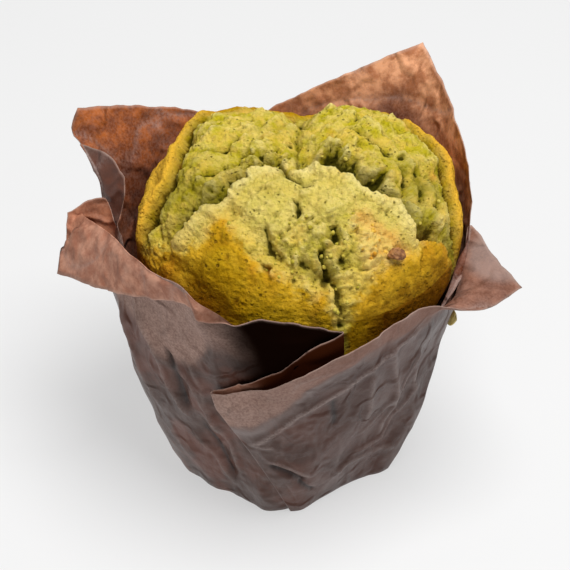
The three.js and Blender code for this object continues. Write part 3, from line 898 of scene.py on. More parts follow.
# Cracks from left to right with their depth, the slope behind them and the lip in front
CRACKS = [
    ([(-25, -18.4), (-23.3, -17), (-21.9, -16.3), (-20.9, -14.8), (-19.2, -14.7),
      (-17.8, -13.4), (-14.6, -12.9), (-12.8, -12.2), (-11.6, -10), (-9.1, -8.5),
      (-9.1, -6.5), (-6.6, -5.2), (-3.1, -4.5), (0, -4.4)], 6.0, 3.4, 1.1),
    ([(1, -4.4), (2.9, -4.7), (6.1, -3.4), (9.8, -6.4), (13.5, -7.2), (15.3, -9.7),
      (18, -11), (19, -11.7), (22.1, -11.1), (23.1, -13.1), (25.5, -15.9), (26.2, -17),
      (29.3, -15.3), (31.7, -13.3), (33.4, -12.3)], 4.6, 3.0, 0.9),
    ([(6, -24), (7.6, -27.2), (9.2, -30.1), (10.2, -32.2), (11, -35)], 2.4, 1.3, 0.3),
]
# The dip between the lobes at the back
BACK_VALLEY = [(2.5, -5.4), (2.2, -0.6), (1.8, 3.3), (2.2, 10), (2.8, 26)]
# Small furrows with their depth and width
FURROWS = [
    ([(-3.1, -4.5), (-0.5, -6.2), (0.5, -7.1), (2.9, -9.1), (5.5, -10.4)], 0.9, 0.8),
    ([(2.4, -4), (1.8, 3.3), (2.2, 12)], 0.9, 0.8),
    ([(23.4, 1), (24.9, -3), (24.2, -8.5)], 0.9, 0.7),
    ([(26.6, 2), (28.1, -4), (27.6, -9.5)], 1.0, 0.8),
    ([(30, 3), (30.9, -3), (30.2, -9)], 0.8, 0.6),
    ([(1.5, -13.4), (1.9, -16.1), (2.1, -18.8)], 1.9, 0.8),
    ([(9.4, -19.4), (9.8, -21.3), (9, -23.4)], 1.6, 0.9),
    ([(-4.7, -19.2), (-4.3, -22.2), (-3.5, -24.4), (-1.5, -26.2)], 1.2, 0.7),
    ([(-5.4, -26), (-3.8, -27.3), (-2.4, -28)], 1.4, 0.8),
    ([(2.1, -26.9), (4.4, -27.8), (6.8, -28.4), (9, -29.1)], 1.6, 1.3),
    ([(-9.3, -2.6), (-7.2, -1.8), (-5.2, -0.2), (-3.2, -1)], 1.2, 0.7),
    ([(-1.3, -3.7), (0.5, -6.8), (2.5, -9.7)], 1.3, 0.6),
    ([(-18.5, -4), (-12, -1), (-8, 3)], 1.3, 0.7),
    ([(-10.5, 2.5), (-6, 1.2), (-1.6, 3.4)], 1.3, 0.6),
    ([(-19, 4), (-13, 5), (-8, 9)], 1.0, 0.7),
    ([(-19.3, 11.8), (-17.3, 11.1), (-13, 13)], 1.2, 0.7),
    ([(-16, -11), (-14, -6), (-10, -3.5)], 1.1, 0.7),
    ([(10, 10), (17, 7), (22, 2)], 0.8, 0.6),
    ([(-13.9, -19.3), (-13, -21.3), (-10, -22.6), (-6.5, -24.6)], 0.7, 0.7),
    ([(2.2, 11), (3.1, 19), (3.4, 28)], 3.2, 2.0),
    ([(26.2, -14.5), (27.2, -18), (27.4, -21.5)], 1.6, 0.8),
]
# Round holes of burst bubbles: place, radius and depth
PITS = [
    (9.9, -22.1, 1.0, 1.6), (11.1, -26.1, 1.1, 1.6), (-3.8, -27.5, 0.7, 1.2),
    (7.6, -29.3, 1.1, 1.8), (-12.2, -24.1, 0.5, 0.6), (-10, -29.8, 0.5, 0.7),
    (19.9, -28.6, 0.6, 0.7), (2.1, -16.8, 0.7, 0.9), (21.4, -21.4, 0.4, 0.5),
    (19.4, -22.2, 0.5, 0.6), (18.6, -23.1, 0.45, 0.6), (-16.3, -7.8, 0.8, 1.2),
    (-5.8, 0.5, 0.6, 0.9), (14.6, 13.5, 0.8, 0.9), (9.6, 6, 0.6, 0.8), (20.2, 8.9, 0.7, 0.9),
    (23.5, 2.6, 0.8, 1.1), (24.7, -3.6, 0.7, 1.0), (0.3, 5.7, 0.6, 0.8),
    (9.3, -2.3, 1.3, 1.5), (13.2, -1.3, 1.1, 1.2), (15.2, -3.9, 1.3, 1.8),
    (21.7, -10.4, 1.3, 2.2), (17.8, -7.2, 0.8, 1.1), (25.6, -14.2, 0.9, 1.3),
    (5.6, -8.2, 0.6, 0.8), (-1.2, -26.2, 0.8, 0.9),
]
# The hollow under the right lobe: its edges seen from above, how they are shifted, and depth
HOLLOW = [
    (2.9, -4.7), (6.1, -3.4), (9.8, -6.4), (13.5, -7.2), (15.3, -9.7), (18, -11),
    (19, -11.7), (22.1, -11.1), (23.1, -13.1), (25.5, -15.9), (25.1, -13.8), (22.8, -10.1),
    (20.6, -8.4), (20.4, -5), (16.7, -6.9), (15.6, -5.2), (14.8, -2.2), (11.8, -1.6),
    (11.4, 0.5), (7.1, -0.6),
]
HOLLOW_SHIFT = (0.3, 2.5)
HOLLOW_DEPTH = 4.4
# Patches of painted shade on the crumb: place, radius and how much
SHADE_PATCHES = [
    (28, -2.5, 6.5, 0.6), (-23, -5, 8, 0.65), (-17, -9.5, 5.5, 0.5), (20, -3, 5, 0.3),
    (-3.5, -12, 2.4, 0.25), (7.5, -25.5, 4, 0.3), (4, 6, 3.5, 0.2), (-2, 11, 3, 0.2),
]
# The light, crumbly part of the crust round the nut
SOFT_CRUST = [
    (12.6, -17.4), (15.6, -15.4), (18.3, -17), (20.8, -18.3), (24, -18.6), (26.4, -19.4),
    (23.4, -22.6), (19.6, -25.6), (16, -26.8), (14.4, -24), (13.4, -20.8),
]
# The coarse torn crumb at the front
CRAGS = [
    (-9.4, -22), (-6.4, -21.4), (-4.3, -23.4), (-2, -21.4), (3, -18.5), (8.5, -17.5),
    (14, -17.5), (15.5, -21), (19, -24.6), (15, -28.6), (10.4, -33), (5, -32), (0, -31),
    (-3.4, -29.4), (-7.4, -26.8),
]
# The smooth pale lobe that rose last, in front of the cracks
SLAB = [
    (-24, -18.4), (-19.6, -15.6), (-14.8, -13.9), (-12, -11.6), (-9.6, -8.5), (-7, -6),
    (0, -5), (3, -5.4), (6.1, -4.2), (9.5, -7.2), (13.4, -8), (15.2, -10.4), (18.8, -12.6),
    (22, -12), (27.6, -17), (22.6, -21.8), (19, -23.6), (15.8, -20.6), (14.2, -17.6),
    (8, -18), (3, -19), (-2, -22), (-4.3, -23.8), (-7.4, -21.6), (-10.3, -19.6), (-13, -18),
    (-15, -19.4), (-18, -20.6),
]
# Swells of the crown: middle, reach and height
LOBES = [
    ((-12, 17, 74), 12, 1.3), ((15, 17, 74), 12, 1.1), ((-17.5, 21, 71), 5.5, 2.2),
    ((20, 21, 71), 6.5, 2.2), ((28, 12, 67), 8, 2.9), ((-26, 14, 67), 7, 0.5),
]
# The dent in the front: place, reach and depth
BOWL = (-1.5, -23.2, 4.2, 1.1)
# Where the crust and the edges of the crumb baked orange: place and reach
ORANGE_SPOTS = [
    (-13.4, -17.7, 1.5), (-14.6, -19.2, 1.6), (-15.3, -21, 1.4), (-11, -20, 1.2),
    (15.6, -16.6, 1.5), (18.3, -18.2, 1.8), (20.6, -19.7, 2.0), (22.8, -20.4, 1.8),
    (18.4, -22.8, 1.3), (28.4, -17.4, 1.8), (-9, 23.6, 3.2), (-14, 22, 2.6), (-1, 24.3, 2.4),
    (9.5, 8.5, 0.9), (9, 6.8, 0.8), (-3, -28.9, 2.0), (31.5, -15, 2.2), (24, 14, 1.0),
    (-24, -19.4, 2.4), (-6.8, -27.6, 1.5), (6, -32, 1.6), (30.6, 3, 1.3),
]
VALLEY_DEPTH = 2.2
VALLEY_REACH = 6
LIP_HEIGHT = 0.6
LIP_WIDTH = 0.9
UNDERCUT_DEPTH = 0.9
SIDE_BAND_HEIGHT = 1.1
SIDE_FURROW_DEPTH = 2.4
SIDE_FURROW_WIDTH = 2.2
LARGE_CLUMP = 4.2
SMALL_CLUMP = 2.4
# How rough each part of the torn crumb is: swells, large clumps, small clumps, streaks, tears
CRUMB_ROUGHNESS = {
    "left": (0.4, 1.1, 0.9, -0.9, 0),
    "right": (0.4, 1.0, 1.0, 0, -0.4),
    "crags": (0.4, 2.0, 1.3, 0, 0),
    "slab": (0.35, 0.6, 0.7, 0, -0.2),
}
# Burst bubbles of the surface: how far apart and how wide they are
BUBBLE_SPACING = 2.1
BUBBLE_WIDTH = 0.26
crumb_grain = Grain(29)


def within(points, outline):
    """Distance of flat points to a closed outline, positive inside it."""
    closed = np.array([*outline, outline[0]], float)
    away = np.abs(from_path(points, closed)[0])
    crossings = np.zeros(len(points), int)
    for (ax, ay), (bx, by) in zip(closed[:-1], closed[1:]):
        spans = (ay > points[:, 1]) != (by > points[:, 1])
        level = (points[:, 1] - ay) / (by - ay if by != ay else 1)
        crossings += spans & (points[:, 0] < ax + (bx - ax) * level)
    return np.where(crossings % 2 == 1, away, -away)


def inside_case(points):
    """Keeps the side of the muffin clear of the crumpled wall."""
    z = points[:, 2]
    inset = SIDE_INSET * (1 - smoothstep(SHOULDER_HEIGHT - 10, SHOULDER_HEIGHT - 1, z))
    foot = FOOT_ROUND * (1 - smoothstep(0, FOOT_ROUND * 2, z)) ** 2
    azimuth = np.degrees(np.arctan2(points[:, 1], points[:, 0]))
    tight = smoothstep(-92, -74, azimuth) * smoothstep(-22, -38, azimuth)
    foot = foot + TIGHT_FOOT * tight * (1 - smoothstep(6, 32, z))
    limit = wall_radius(z) - inset - foot
    scale = np.minimum(1, limit / np.maximum(np.hypot(points[:, 0], points[:, 1]), 1e-6))
    return points * np.stack([scale, scale, np.ones(len(points))], -1)


crown_turn = (np.arange(CROWN_ROWS) + 1) / CROWN_ROWS * math.pi / 2
crown_z = mix(SHOULDER_HEIGHT, CROWN_HEIGHT, np.cos(crown_turn).clip(0) ** 0.9)
side_share = (np.arange(SIDE_ROWS) + 1) / SIDE_ROWS
side_z = mix(SHOULDER_HEIGHT, SHEET + GAP, side_share)
row_z = np.concatenate([crown_z, side_z])[:, None]
row_spread = np.concatenate([np.sin(crown_turn) ** 0.92, np.ones(SIDE_ROWS)])[:, None]
side_angle = np.arange(SIDES) / SIDES * math.tau
smooth_x = CROWN_SHIFT + CROWN_RADIUS[0] * row_spread * np.cos(side_angle)
smooth_y = CROWN_RADIUS[1] * row_spread * np.sin(side_angle)
smooth = np.stack([smooth_x, smooth_y, row_z + 0 * smooth_x], -1).reshape(-1, 3)
smooth = np.concatenate([smooth, [(CROWN_SHIFT, 0, CROWN_HEIGHT), (0, 0, SHEET + GAP)]])
dome = inside_case(smooth)


def lumps(points):
    """Uneven swell of the whole crown, as waves of three sizes."""
    x, y, z = points.T
    total = 0
    for size, height in ((15, 0.9), (8, 0.6), (5, 0.45)):
        wave = np.sin(x / size * 6.3 + 1.3 * size) * np.cos(y / size * 5.6 + size)
        total = total + height * (wave + np.sin(z / size * 6.1 + x / size * 2.7) * 0.5)
    return total


def clumps(points, size):
    """Rounded clumps of crumb with sharp creases between them, large and small."""
    total = sum(
        np.abs(crumb_grain.at(points + 19 * step, size / 1.8**step)) / 1.6**step
        for step in range(4))
    return total - 0.45


def spot(points, place, radius, power=2):
    return hill(np.linalg.norm(points - np.array(place), axis=1), radius, power)


def crown_relief(points):
    """How far the surface stands out from the smooth dome, how far it hangs over to the
    back, and the shares that the colours are mixed by."""
    x, y, z = points.T
    torn_height = smoothstep(SHOULDER_HEIGHT - 2, SHOULDER_HEIGHT + 8, z)
    crown = smoothstep(SHOULDER_HEIGHT - 7, SHOULDER_HEIGHT + 1, z)
    at_side = np.maximum(
        smoothstep(-14, -18, x) * smoothstep(-12, -7, y),
        smoothstep(22, 26, x) * smoothstep(-15, -11, y))
    wander = np.stack([
        crumb_grain.rough(points + shift, 3.4, 4) * 1.15 for shift in (5, 45)
    ], -1)
    plan = points[:, :2] + wander * (1 - 0.7 * at_side)[:, None]
    inside = within(plan, TORN)
    fluff = crumb_grain.rough(points + 83, 1.7, 3)
    sharp_edge = smoothstep(-13, -9, y)
    fine = clumps(points + 57, SMALL_CLUMP)
    crumbling = inside + 1.1 * fluff + 1.6 * fine
    crust = 1 - mix(
        smoothstep(-0.6, 0.7, crumbling), smoothstep(-0.3, 0.5, inside), sharp_edge)
    soft_crust = smoothstep(-0.8, 1.2, within(plan, SOFT_CRUST) + 0.8 * fluff)
    crumb = 1 - crust
    slab = smoothstep(-0.3, 0.8, within(plan, SLAB)) * crumb
    crags = smoothstep(-0.8, 0.8, within(plan, CRAGS)) * crumb
    shell = crumb * (1 - slab) * (1 - crags)
    left = 1 - smoothstep(-2, 4, x)
    right = 1 - left

    move = lumps(points) * mix(0.15, 0.8, torn_height) * mix(1, 0.55, crust)
    for place, radius, lift in LOBES:
        move += lift * spot(points, place, radius)
    valley, _ = from_path(points[:, :2], BACK_VALLEY)
    move -= VALLEY_DEPTH * torn_height * hill(valley, VALLEY_REACH)

    # Deep is the share of painted shade in cracks, hollows, furrows, pits and other recesses
    deep = np.zeros(len(points))
    overhang = np.zeros(len(points))
    for path, depth, behind, lip in CRACKS:
        away, share = from_path(plan, path)
        ends = fade_ends(share, 0.07)
        depth_here = depth * ends * (1 + 0.35 * crumb_grain.at(points + 71, 4))
        drop = hill(np.minimum(away, 0), 0.35)
        past = np.maximum(away, 0) / behind
        slope = hill(past, 2.2) * drop
        gone = hill(past, 1, 2.6) * drop * 0.7 + slope * 0.3
        move += torn_height * (lip * hill(away + 1.1, 1.2) * ends - depth_here * gone)
        overhang += lip * ends * hill(away + 0.6, 0.7) * torn_height
        shade = (0.85 * (hill(past, 1.35, 3) * drop) + 0.2 * slope).clip(0, 1)
        deep = np.maximum(deep, shade * ends * min(1, depth / 4))
    hollow = smoothstep(-0.4, 1.3, within(plan - HOLLOW_SHIFT, HOLLOW))
    move -= HOLLOW_DEPTH * hollow * torn_height
    deep = np.maximum(deep, hollow)
    for path, depth, width in FURROWS:
        away, share = from_path(plan, path)
        cut = hill(np.abs(away), width, 1.6) * fade_ends(share, 0.15)
        move -= depth * cut
        deep = np.maximum(deep, 0.6 * cut * min(1, 1.2 / width))
    for *place, radius, depth in PITS:
        cut = spot(points[:, :2] + wander * 0.35, place, radius, 3)
        move -= depth * cut * crown
        deep = np.maximum(deep, 0.8 * cut)
    move -= BOWL[3] * spot(plan, BOWL[:2], BOWL[2])
    moist = np.zeros(len(points))
    for *place, radius, amount in SHADE_PATCHES:
        moist = np.maximum(moist, amount * spot(plan, place, radius))

    # Torn edges: the crust stands over the crumb that it tore away from, highest at the sides
    lip = hill(inside + LIP_WIDTH, LIP_WIDTH)
    undercut = smoothstep(-0.1, 0.4, inside) * hill(np.maximum(inside, 0), 1.6, 1)
    ragged = 0.5 + smoothstep(-0.3, 0.4, crumb_grain.at(points + 33, 5))
    stands = mix(0.35, 1, sharp_edge) * (1 - at_side)
    move += crown * ragged * stands * (LIP_HEIGHT * lip - UNDERCUT_DEPTH * undercut)
    side_band = hill(inside + 0.9, 1) * at_side
    side_furrow = smoothstep(-0.2, 0.4, inside) * hill(inside, SIDE_FURROW_WIDTH) * at_side
    move += torn_height * (SIDE_BAND_HEIGHT * side_band - SIDE_FURROW_DEPTH * side_furrow)
    deep = np.maximum(deep, 0.4 * undercut * ragged * stands)
    deep = np.maximum(deep, 0.8 * side_furrow**1.3)

    # The fine relief: streaks where crumb was pulled, tears, holes, and clumps of two sizes
    along = points @ np.array([[0.8, -0.6, 0], [0.6, 0.8, 0], [0, 0, 1]])
    streaks = hill(np.abs(crumb_grain.at(along / (3.2, 1, 1.4), 2.4)), 0.09, 1)
    streaks *= smoothstep(-0.1, 0.25, crumb_grain.at(points + 47, 6))
    torn_points = points + wander.mean(1)[:, None] + 61
    tears = hill(np.abs(crumb_grain.at(torn_points, 3.6)), 0.08, 1)
    tears *= smoothstep(-0.05, 0.3, crumb_grain.at(points + 23, 5))
    cloud = crumb_grain.rough(points + 17, 5, 3)
    torn_along = (along + 0.7 * fluff[:, None] + 101) / (1.9, 1, 1.2)
    holes = smoothstep(0.24, 0.5, crumb_grain.at(torn_along, 1.35))
    bent = points + 0.8 * fluff[:, None] + 0.5 * wander[:, :1]
    lumpy = clumps(bent + 31, LARGE_CLUMP)
    gaps = smoothstep(-0.1, -0.4, lumpy)
    parts = {"left": shell * left, "right": shell * right, "crags": crags, "slab": slab}
    micro = sum(
        parts[part] * sum(
            weight * layer
            for weight, layer in zip(weights, (cloud, lumpy, fine, streaks, tears)))
        for part, weights in CRUMB_ROUGHNESS.items())
    micro -= holes * (0.8 * shell + 0.6 * crags + 0.35 * slab)
    micro += crust * crown * (0.3 * cloud + 0.35 * fine) * mix(1, 0.9, at_side)
    micro += soft_crust * (0.9 * lumpy + 0.9 * fine)
    micro += crumb_grain.rough(points + 5, 0.9, 2) * crown * (0.22 * crumb + 0.07 * crust)
    move += micro
    deep = np.maximum(deep, 0.6 * crags * gaps)
    deep = np.maximum(deep, tears * (0.25 * shell + 0.2 * slab))
    deep = np.maximum(deep, holes * (0.5 * shell + 0.3 * crags + 0.3 * slab))
    toasted = crumb * smoothstep(0.1, 1.0, micro) * (0.8 * shell + 0.3 * slab + 0.25 * crags)

    burst = crumb_grain.spots[
        tuple((np.floor(points / BUBBLE_SPACING).astype(int) % crumb_grain.CELLS).T)][:, 0]
    hole, _ = crumb_grain.nuggets(points + 51, BUBBLE_SPACING)
    bubble = hill(hole, BUBBLE_WIDTH, 4) * (burst > 0.45)
    move -= bubble * crown * (0.3 * slab + 0.25 * crust)
    deep = np.maximum(deep, bubble * 0.4 * slab)

    orange = np.zeros(len(points))
    for *place, radius in ORANGE_SPOTS:
        orange = np.maximum(orange, spot(plan, place, radius))
    orange = np.maximum(orange, 0.55 * hill(inside + 0.8, 1.2) * (0.5 + cloud))
    loose = crags * 0.5 + deep * crumb * 0.25 + soft_crust * 0.7
    # The crust low down by the paper rim is painted dark as the shade the paper casts on it
    near_paper = smoothstep(72, 60, z + 8 * smoothstep(-12, -2, y))
    near_paper *= np.maximum(smoothstep(-4, -18, x), smoothstep(10, 20, x))
    return move * crown, overhang * crown, {
        "crust": crust,
        "slab": slab,
        "crags": crags,
        "deep": np.clip(deep, 0, 1),
        "moist": moist,
        "orange": orange,
        "toasted": toasted,
        "soft_crust": soft_crust,
        "near_paper": near_paper,
        "near_crust": hill(inside, 3.2) * (1 - sharp_edge) * (z > 60),
        "side_rim": smoothstep(0.2, -0.4, inside) * at_side * smoothstep(58, 64, z),
        "loose": loose * (z > SHOULDER_HEIGHT - 2),
    }


relief, overhang, shares = crown_relief(dome)
muffin_rows = CROWN_ROWS + SIDE_ROWS


def spread_out(values, reach):
    """Averages values of the dome with those of their neighbours."""
    rows = values[:-2].reshape(muffin_rows, SIDES)
    for axis, mode in ((0, "edge"), (1, "wrap")):
        width = [(reach + 1, reach) if side == axis else (0, 0) for side in (0, 1)]
        sums = np.cumsum(np.pad(rows, width, mode), axis=axis)
        each = np.arange(rows.shape[axis])
        sums = np.take(sums, each + 2 * reach + 1, axis) - np.take(sums, each, axis)
        rows = sums / (2 * reach + 1)
    return np.concatenate([rows.ravel(), values[-2:]])


# Painted shade darkens the hollows and a painted highlight lightens what stands out, by how
# far the surface lies below or above the average round it
SMALL_HOLLOW = 4
LARGE_HOLLOW = 12
sunk_little = spread_out(relief, SMALL_HOLLOW) - relief
sunk_much = spread_out(relief, LARGE_HOLLOW) - relief
hollows = 0.7 * smoothstep(0.12, 0.8, sunk_little) + 0.6 * smoothstep(0.5, 2.6, sunk_much)
hollows *= (1 - 0.75 * shares["crust"]) * (1 - 0.4 * shares["crags"])
shares["deep"] = np.clip(shares["deep"] + hollows, 0, 1)
shares["raised"] = smoothstep(0.1, 0.7, -sunk_little) + smoothstep(0.3, 1.6, -sunk_much)
outward = dome - (CROWN_SHIFT, 0, HEART_HEIGHT)
outward /= np.linalg.norm(outward, axis=1, keepdims=True)
on_crown = dome[:, 2] > SHOULDER_HEIGHT - 7
muffin_vertices = np.where(on_crown[:, None], dome + outward * relief[:, None], dome)
muffin_vertices[:, 1] += overhang
muffin_vertices = inside_case(muffin_vertices)
ring = np.arange(SIDES)
ring_beside = np.roll(ring, -1)
row_start = (np.arange(muffin_rows - 1) * SIDES)[:, None]
a, b = row_start + ring, row_start + ring_beside
muffin_faces = np.stack([a, a + SIDES, b + SIDES, b], -1).reshape(-1, 4).tolist()
top, foot = muffin_rows * SIDES, muffin_rows * SIDES + 1
last = (muffin_rows - 1) * SIDES
muffin_faces += [(top, here, next_one) for here, next_one in zip(ring, ring_beside)]
muffin_faces += [(last + here, foot, last + next_one)
                 for here, next_one in zip(ring, ring_beside)]

CRUMB_LIGHT = (0.830, 0.650, 0.150, 1)
CRUMB_GREEN = (0.560, 0.460, 0.012, 1)
CRUMB_GRAIN = (0.360, 0.300, 0.010, 1)
CRUMB_PATCH_SHADE = (0.260, 0.205, 0.002, 1)
CRUMB_DEEP = (0.110, 0.095, 0.001, 1)
CAVITY = (0.035, 0.031, 0.001, 1)
SLAB_LIGHT = (0.850, 0.690, 0.200, 1)
RAISED_HIGHLIGHT = (0.980, 0.820, 0.330, 1)
CRUMB_GOLDEN = (0.860, 0.580, 0.100, 1)
CRUST_EDGE = (0.860, 0.520, 0.030, 1)
CRUST_GOLD = (0.480, 0.262, 0.001, 1)
CRUST_LIGHT = (0.680, 0.420, 0.010, 1)
CRUST_GRAIN = (0.260, 0.140, 0.001, 1)
CRUST_SOFT = (0.960, 0.660, 0.190, 1)
CRUST_SHADE = (0.140, 0.042, 0.000, 1)
CRUST_ORANGE = (0.640, 0.260, 0.012, 1)
RIM_GOLD = (0.980, 0.570, 0.055, 1)
PORE_SHADE = (0.150, 0.070, 0.004, 1)

cake = Finish("baked_crumb")
patches = cake.step(cake.noise(3.2, 4, 0.62), 0.34, 0.68)
grains = cake.noise(0.6, 4, 0.75)
broad = cake.step(cake.noise(9, 2, 0.5), 0.38, 0.62)
deep = cake.attribute("deep")
slab = cake.attribute("slab")
crust = cake.attribute("crust")
soft_crust = cake.attribute("soft_crust")
near_crust = cake.attribute("near_crust")
# Pores are small holes: their dark colour is painted shade, and the bump sinks them
pores = cake.step(cake.cells(1.05), 0.12, 0.28, 1, 0)
pores = pores * cake.step(cake.noise(2.6, 3, 0.6), 0.5, 0.62)
large_pores = cake.step(cake.cells(2.4), 0.08, 0.2, 1, 0)
large_pores = large_pores * cake.step(cake.noise(4.5, 2, 0.5), 0.46, 0.56)
crumb_pores = cake.step(cake.cells(1.25), 0.12, 0.26, 1, 0)
crumb_pores = crumb_pores * cake.step(cake.noise(3.5, 2, 0.5), 0.46, 0.6)
golden = cake.step(cake.noise(5, 3, 0.65), 0.46, 0.68) * (1 - deep)
crumb_colour = cake.coats(
    CRUMB_GREEN,
    (CRUMB_LIGHT, patches),
    (SLAB_LIGHT, slab * 0.6 + cake.attribute("crags") * 0.3),
    (CRUST_LIGHT, cake.attribute("toasted") * 0.5),
    (RAISED_HIGHLIGHT, cake.attribute("raised") * 0.35),
    (CRUMB_PATCH_SHADE, cake.attribute("moist")),
    (CRUMB_GRAIN, cake.step(grains, 0.5, 0.68) * 0.45),
    (CRUMB_DEEP, crumb_pores * 0.75),
    # Painted shade in cracks and hollows, near black at the deepest
    (CRUMB_DEEP, deep * 0.9),
    (CAVITY, cake.step(deep, 0.68, 1.0) * 0.85),
    (CRUMB_GOLDEN, near_crust * (1 - deep * 0.7) * 0.6),
    (CRUMB_GOLDEN, golden * (1 - slab * 0.7) * 0.6),
    (CRUST_SOFT, soft_crust * (patches * 0.4 + 0.5)),
)
crust_colour = cake.coats(
    CRUST_GOLD,
    (CRUST_LIGHT, patches * 0.5 + broad * 0.3),
    (CRUST_GRAIN, cake.step(grains, 0.5, 0.7) * 0.5),
    (CRUST_SOFT, soft_crust * (patches * 0.5 + 0.4)),
    (CRUST_SHADE, cake.attribute("near_paper") * 0.9),
    (PORE_SHADE, pores * 0.8),
    (PORE_SHADE, large_pores * 0.9),
    (CRUST_SHADE, deep * 0.8),
    (RIM_GOLD, cake.attribute("side_rim") * (patches * 0.2 + 0.8)),
    (CRUST_EDGE, near_crust * (patches * 0.6 + 0.2)),
)
muffin_colour = cake.coats(
    crumb_colour,
    (crust_colour, crust),
    (CRUST_ORANGE, cake.attribute("orange") * (patches * 0.5 + 0.2)),
)
cake_bump = cake.bump(grains, 0.55)
for height, depth in (
    (cake.noise(1.5, 3, 0.65), 0.5),
    (cake.cells(0.95), -0.22),
    (pores * crust, -0.3),
    (crumb_pores, -0.3),
    (large_pores * crust, -0.5),
):
    cake_bump = cake.bump(height, depth, cake_bump)
cake_material = cake.surface({
    "Base Color": muffin_colour,
    "Roughness": 0.8 - crust * 0.16 + (grains - 0.5) * 0.2,
    "Specular IOR Level": 0.05,
    "Subsurface Weight": 0.04,
    "Subsurface Radius": (0.9, 0.6, 0.15),
    "Subsurface Scale": 0.0012,
    "Normal": cake_bump,
})
muffin = make_piece("muffin_cake", muffin_vertices, muffin_faces, cake_material, shares)
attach(muffin, "root")
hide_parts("muffin")

# Loose crumbs
# Small nuggets of crumb that came loose where the muffin tore, still stuck in the cracks
# and on the torn faces. They are scattered over the torn part of the muffin.
CRUMBS_PER_SQUARE_METRE = 90000
CRUMB_SMALLEST = 0.16
CRUMB_LARGEST = 0.55
SCATTER_SEED = 4
SIZE_SEED = 3
TURN_SEED = 5
LOOSE_MOIST = (0.40, 0.33, 0.025, 1)
LOOSE_PALE = (0.62, 0.50, 0.090, 1)
LOOSE_BROWN = (0.60, 0.28, 0.020, 1)
LOOSE_TOASTED = (0.80, 0.52, 0.080, 1)
TOASTED_PLACE = (20.5, -21.5, 70)
TOASTED_REACH = 9.5


def crumb_tree(material):
    """Geometry nodes that scatter lumpy nuggets over the faces marked as loose."""
    tree = bpy.data.node_groups.new("crumb_scatter", "GeometryNodeTree")
    inputs = {}
    for name, kind in (
        ("Muffin", "NodeSocketGeometry"), ("Density", "NodeSocketFloat"),
        ("Smallest", "NodeSocketFloat"), ("Largest", "NodeSocketFloat"),
        ("Seed", "NodeSocketInt"),
    ):
        made = tree.interface.new_socket(name, in_out="INPUT", socket_type=kind)
        inputs[name] = made.identifier
    tree.interface.new_socket("Crumbs", in_out="OUTPUT", socket_type="NodeSocketGeometry")

    def node(kind, settings, sockets):
        made = tree.nodes.new(kind)
        for name, value in settings.items():
            setattr(made, name, value)
        for key, value in sockets.items():
            if isinstance(value, bpy.types.NodeSocket):
                tree.links.new(value, made.inputs[key])
            else:
                made.inputs[key].default_value = value
        return made

    given = node("NodeGroupInput", {}, {}).outputs
    where = node("GeometryNodeInputNamedAttribute", {"data_type": "FLOAT"}, {"Name": "loose"})
    amount = node("ShaderNodeMath", {"operation": "MULTIPLY"}, {
        0: where.outputs[0], 1: given["Density"]})
    points = node("GeometryNodeDistributePointsOnFaces", {}, {
        "Mesh": given["Muffin"], "Density": amount.outputs[0], "Seed": given["Seed"]})
    nugget = node("GeometryNodeMeshIcoSphere", {}, {"Radius": 1.0, "Subdivisions": 2})
    lumpy = node("ShaderNodeTexNoise", {}, {"Scale": 1.4, "Detail": 1.0})
    shift = node("ShaderNodeVectorMath", {"operation": "SUBTRACT"}, {
        0: lumpy.outputs[1], 1: (0.5, 0.5, 0.5)})
    crushed = node("GeometryNodeSetPosition", {}, {
        "Geometry": nugget.outputs[0], "Offset": shift.outputs[0]})
    size = node("FunctionNodeRandomValue", {"data_type": "FLOAT"}, {
        2: given["Smallest"], 3: given["Largest"], "Seed": SIZE_SEED})
    turn = node("FunctionNodeRandomValue", {"data_type": "FLOAT_VECTOR"}, {
        0: (0, 0, 0), 1: (math.tau,) * 3, "Seed": TURN_SEED})
    placed = node("GeometryNodeInstanceOnPoints", {}, {
        "Points": points.outputs["Points"], "Instance": crushed.outputs[0],
        "Rotation": turn.outputs[0], "Scale": size.outputs[1]})
    solid = node("GeometryNodeRealizeInstances", {}, {0: placed.outputs[0]})
    smoothed = node("GeometryNodeSetShadeSmooth", {}, {0: solid.outputs[0]})
    painted = node("GeometryNodeSetMaterial", {}, {
        "Geometry": smoothed.outputs[0], "Material": material})
    node("NodeGroupOutput", {}, {0: painted.outputs[0]})
    return tree, inputs


loose_finish = Finish("loose_crumbs")
crumb_mottle = loose_finish.step(loose_finish.noise(1.1, 2, 0.6), 0.35, 0.65)
moist_crumbs = loose_finish.blend(LOOSE_MOIST, LOOSE_PALE, crumb_mottle)
toasted_crumbs = loose_finish.blend(LOOSE_BROWN, LOOSE_TOASTED, crumb_mottle)
loose_material = loose_finish.surface({
    "Base Color": loose_finish.blend(
        moist_crumbs, toasted_crumbs, loose_finish.near(TOASTED_PLACE, TOASTED_REACH)),
    "Roughness": 0.8,
    "Specular IOR Level": 0.2,
    "Normal": loose_finish.bump(loose_finish.noise(0.4, 2, 0.6), 0.1),
})
scatter_tree, scatter_inputs = crumb_tree(loose_material)
crumb_base = bpy.data.objects.new("crumb_base", muffin.data.copy())
bpy.context.scene.collection.objects.link(crumb_base)
scatter = crumb_base.modifiers.new("scatter", "NODES")
scatter.node_group = scatter_tree
scatter[scatter_inputs["Density"]] = float(CRUMBS_PER_SQUARE_METRE)
scatter[scatter_inputs["Smallest"]] = CRUMB_SMALLEST * MM
scatter[scatter_inputs["Largest"]] = CRUMB_LARGEST * MM
scatter[scatter_inputs["Seed"]] = SCATTER_SEED
ready = crumb_base.evaluated_get(bpy.context.evaluated_depsgraph_get())
crumbs = bpy.data.objects.new("muffin_crumbs", bpy.data.meshes.new_from_object(ready))
bpy.context.scene.collection.objects.link(crumbs)
bpy.data.objects.remove(crumb_base)
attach(crumbs, "root")
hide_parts("muffin")

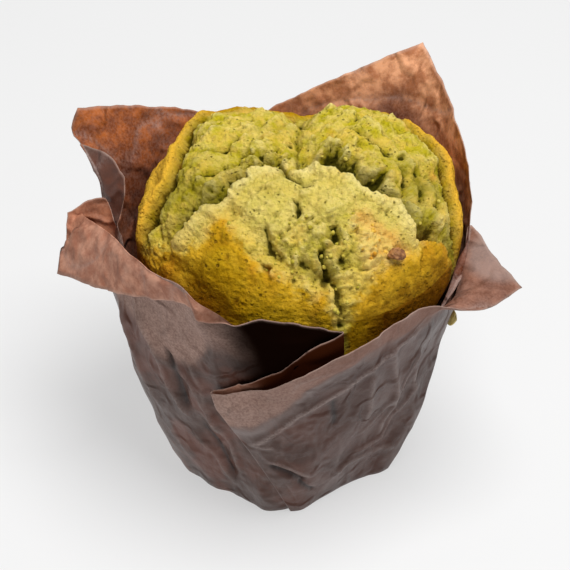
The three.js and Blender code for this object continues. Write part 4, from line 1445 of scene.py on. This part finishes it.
# The piece of nut
# A reddish brown end of toasted nut, chopped small and stirred into the batter. It baked into
# the crust at the front right, which holds it.
NUT_BROWN = (0.17, 0.055, 0.014, 1)
NUT_LIGHT = (0.42, 0.190, 0.060, 1)
NUT_SIZE = (1.75, 1.45, 1.1)
NUT_PLACE = (21.8, -22.6, 70.1)


def lumpy_ball(size, place, grain, roughness, fineness):
    """A closed ball of triangles, pulled out of round."""
    ball = bmesh.new()
    bmesh.ops.create_icosphere(ball, subdivisions=fineness, radius=1)
    points = np.array([corner.co[:] for corner in ball.verts])
    faces = [[corner.index for corner in face.verts] for face in ball.faces]
    ball.free()
    uneven = 1 + roughness * grain.rough(points * 3, 2.4, 4)
    return points * uneven[:, None] * size + place, faces


nut_finish = Finish("toasted_nut")
nut_mottle = nut_finish.step(nut_finish.noise(0.9, 3, 0.6), 0.35, 0.65)
nut_material = nut_finish.surface({
    "Base Color": nut_finish.blend(NUT_BROWN, NUT_LIGHT, nut_mottle),
    "Roughness": 0.55 + nut_mottle * 0.2,
    "Normal": nut_finish.bump(nut_mottle, 0.12),
})
nut_vertices, nut_faces = lumpy_ball(NUT_SIZE, NUT_PLACE, Grain(3), 0.35, 4)
nut = make_piece("nut_piece", nut_vertices, nut_faces, nut_material, {})
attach(nut, "root")
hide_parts("muffin")

# The drop of batter
# A yellow drop that ran out between the folds at the right while the muffin rose, and baked
# on to the outside of the case.
DROP_YELLOW = (0.62, 0.43, 0.09, 1)
DROP_PALE = (0.68, 0.55, 0.20, 1)
DROP_SIZE = (1.3, 2.15, 1.45)
DROP_PLACE = (34.8, -8.3, 41.8)
drop_finish = Finish("baked_drop")
drop_patch = drop_finish.step(drop_finish.noise(1.6, 3, 0.6), 0.35, 0.65)
drop_material = drop_finish.surface({
    "Base Color": drop_finish.blend(DROP_YELLOW, DROP_PALE, drop_patch),
    "Roughness": 0.6 + drop_patch * 0.15,
    "Normal": drop_finish.bump(drop_finish.noise(0.5, 3, 0.6), 0.15),
})
drop_vertices, drop_faces = lumpy_ball(DROP_SIZE, DROP_PLACE, Grain(8), 0.22, 5)
drop = make_piece("baked_batter", drop_vertices, drop_faces, drop_material, {})
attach(drop, "root")
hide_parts("batter_drop")
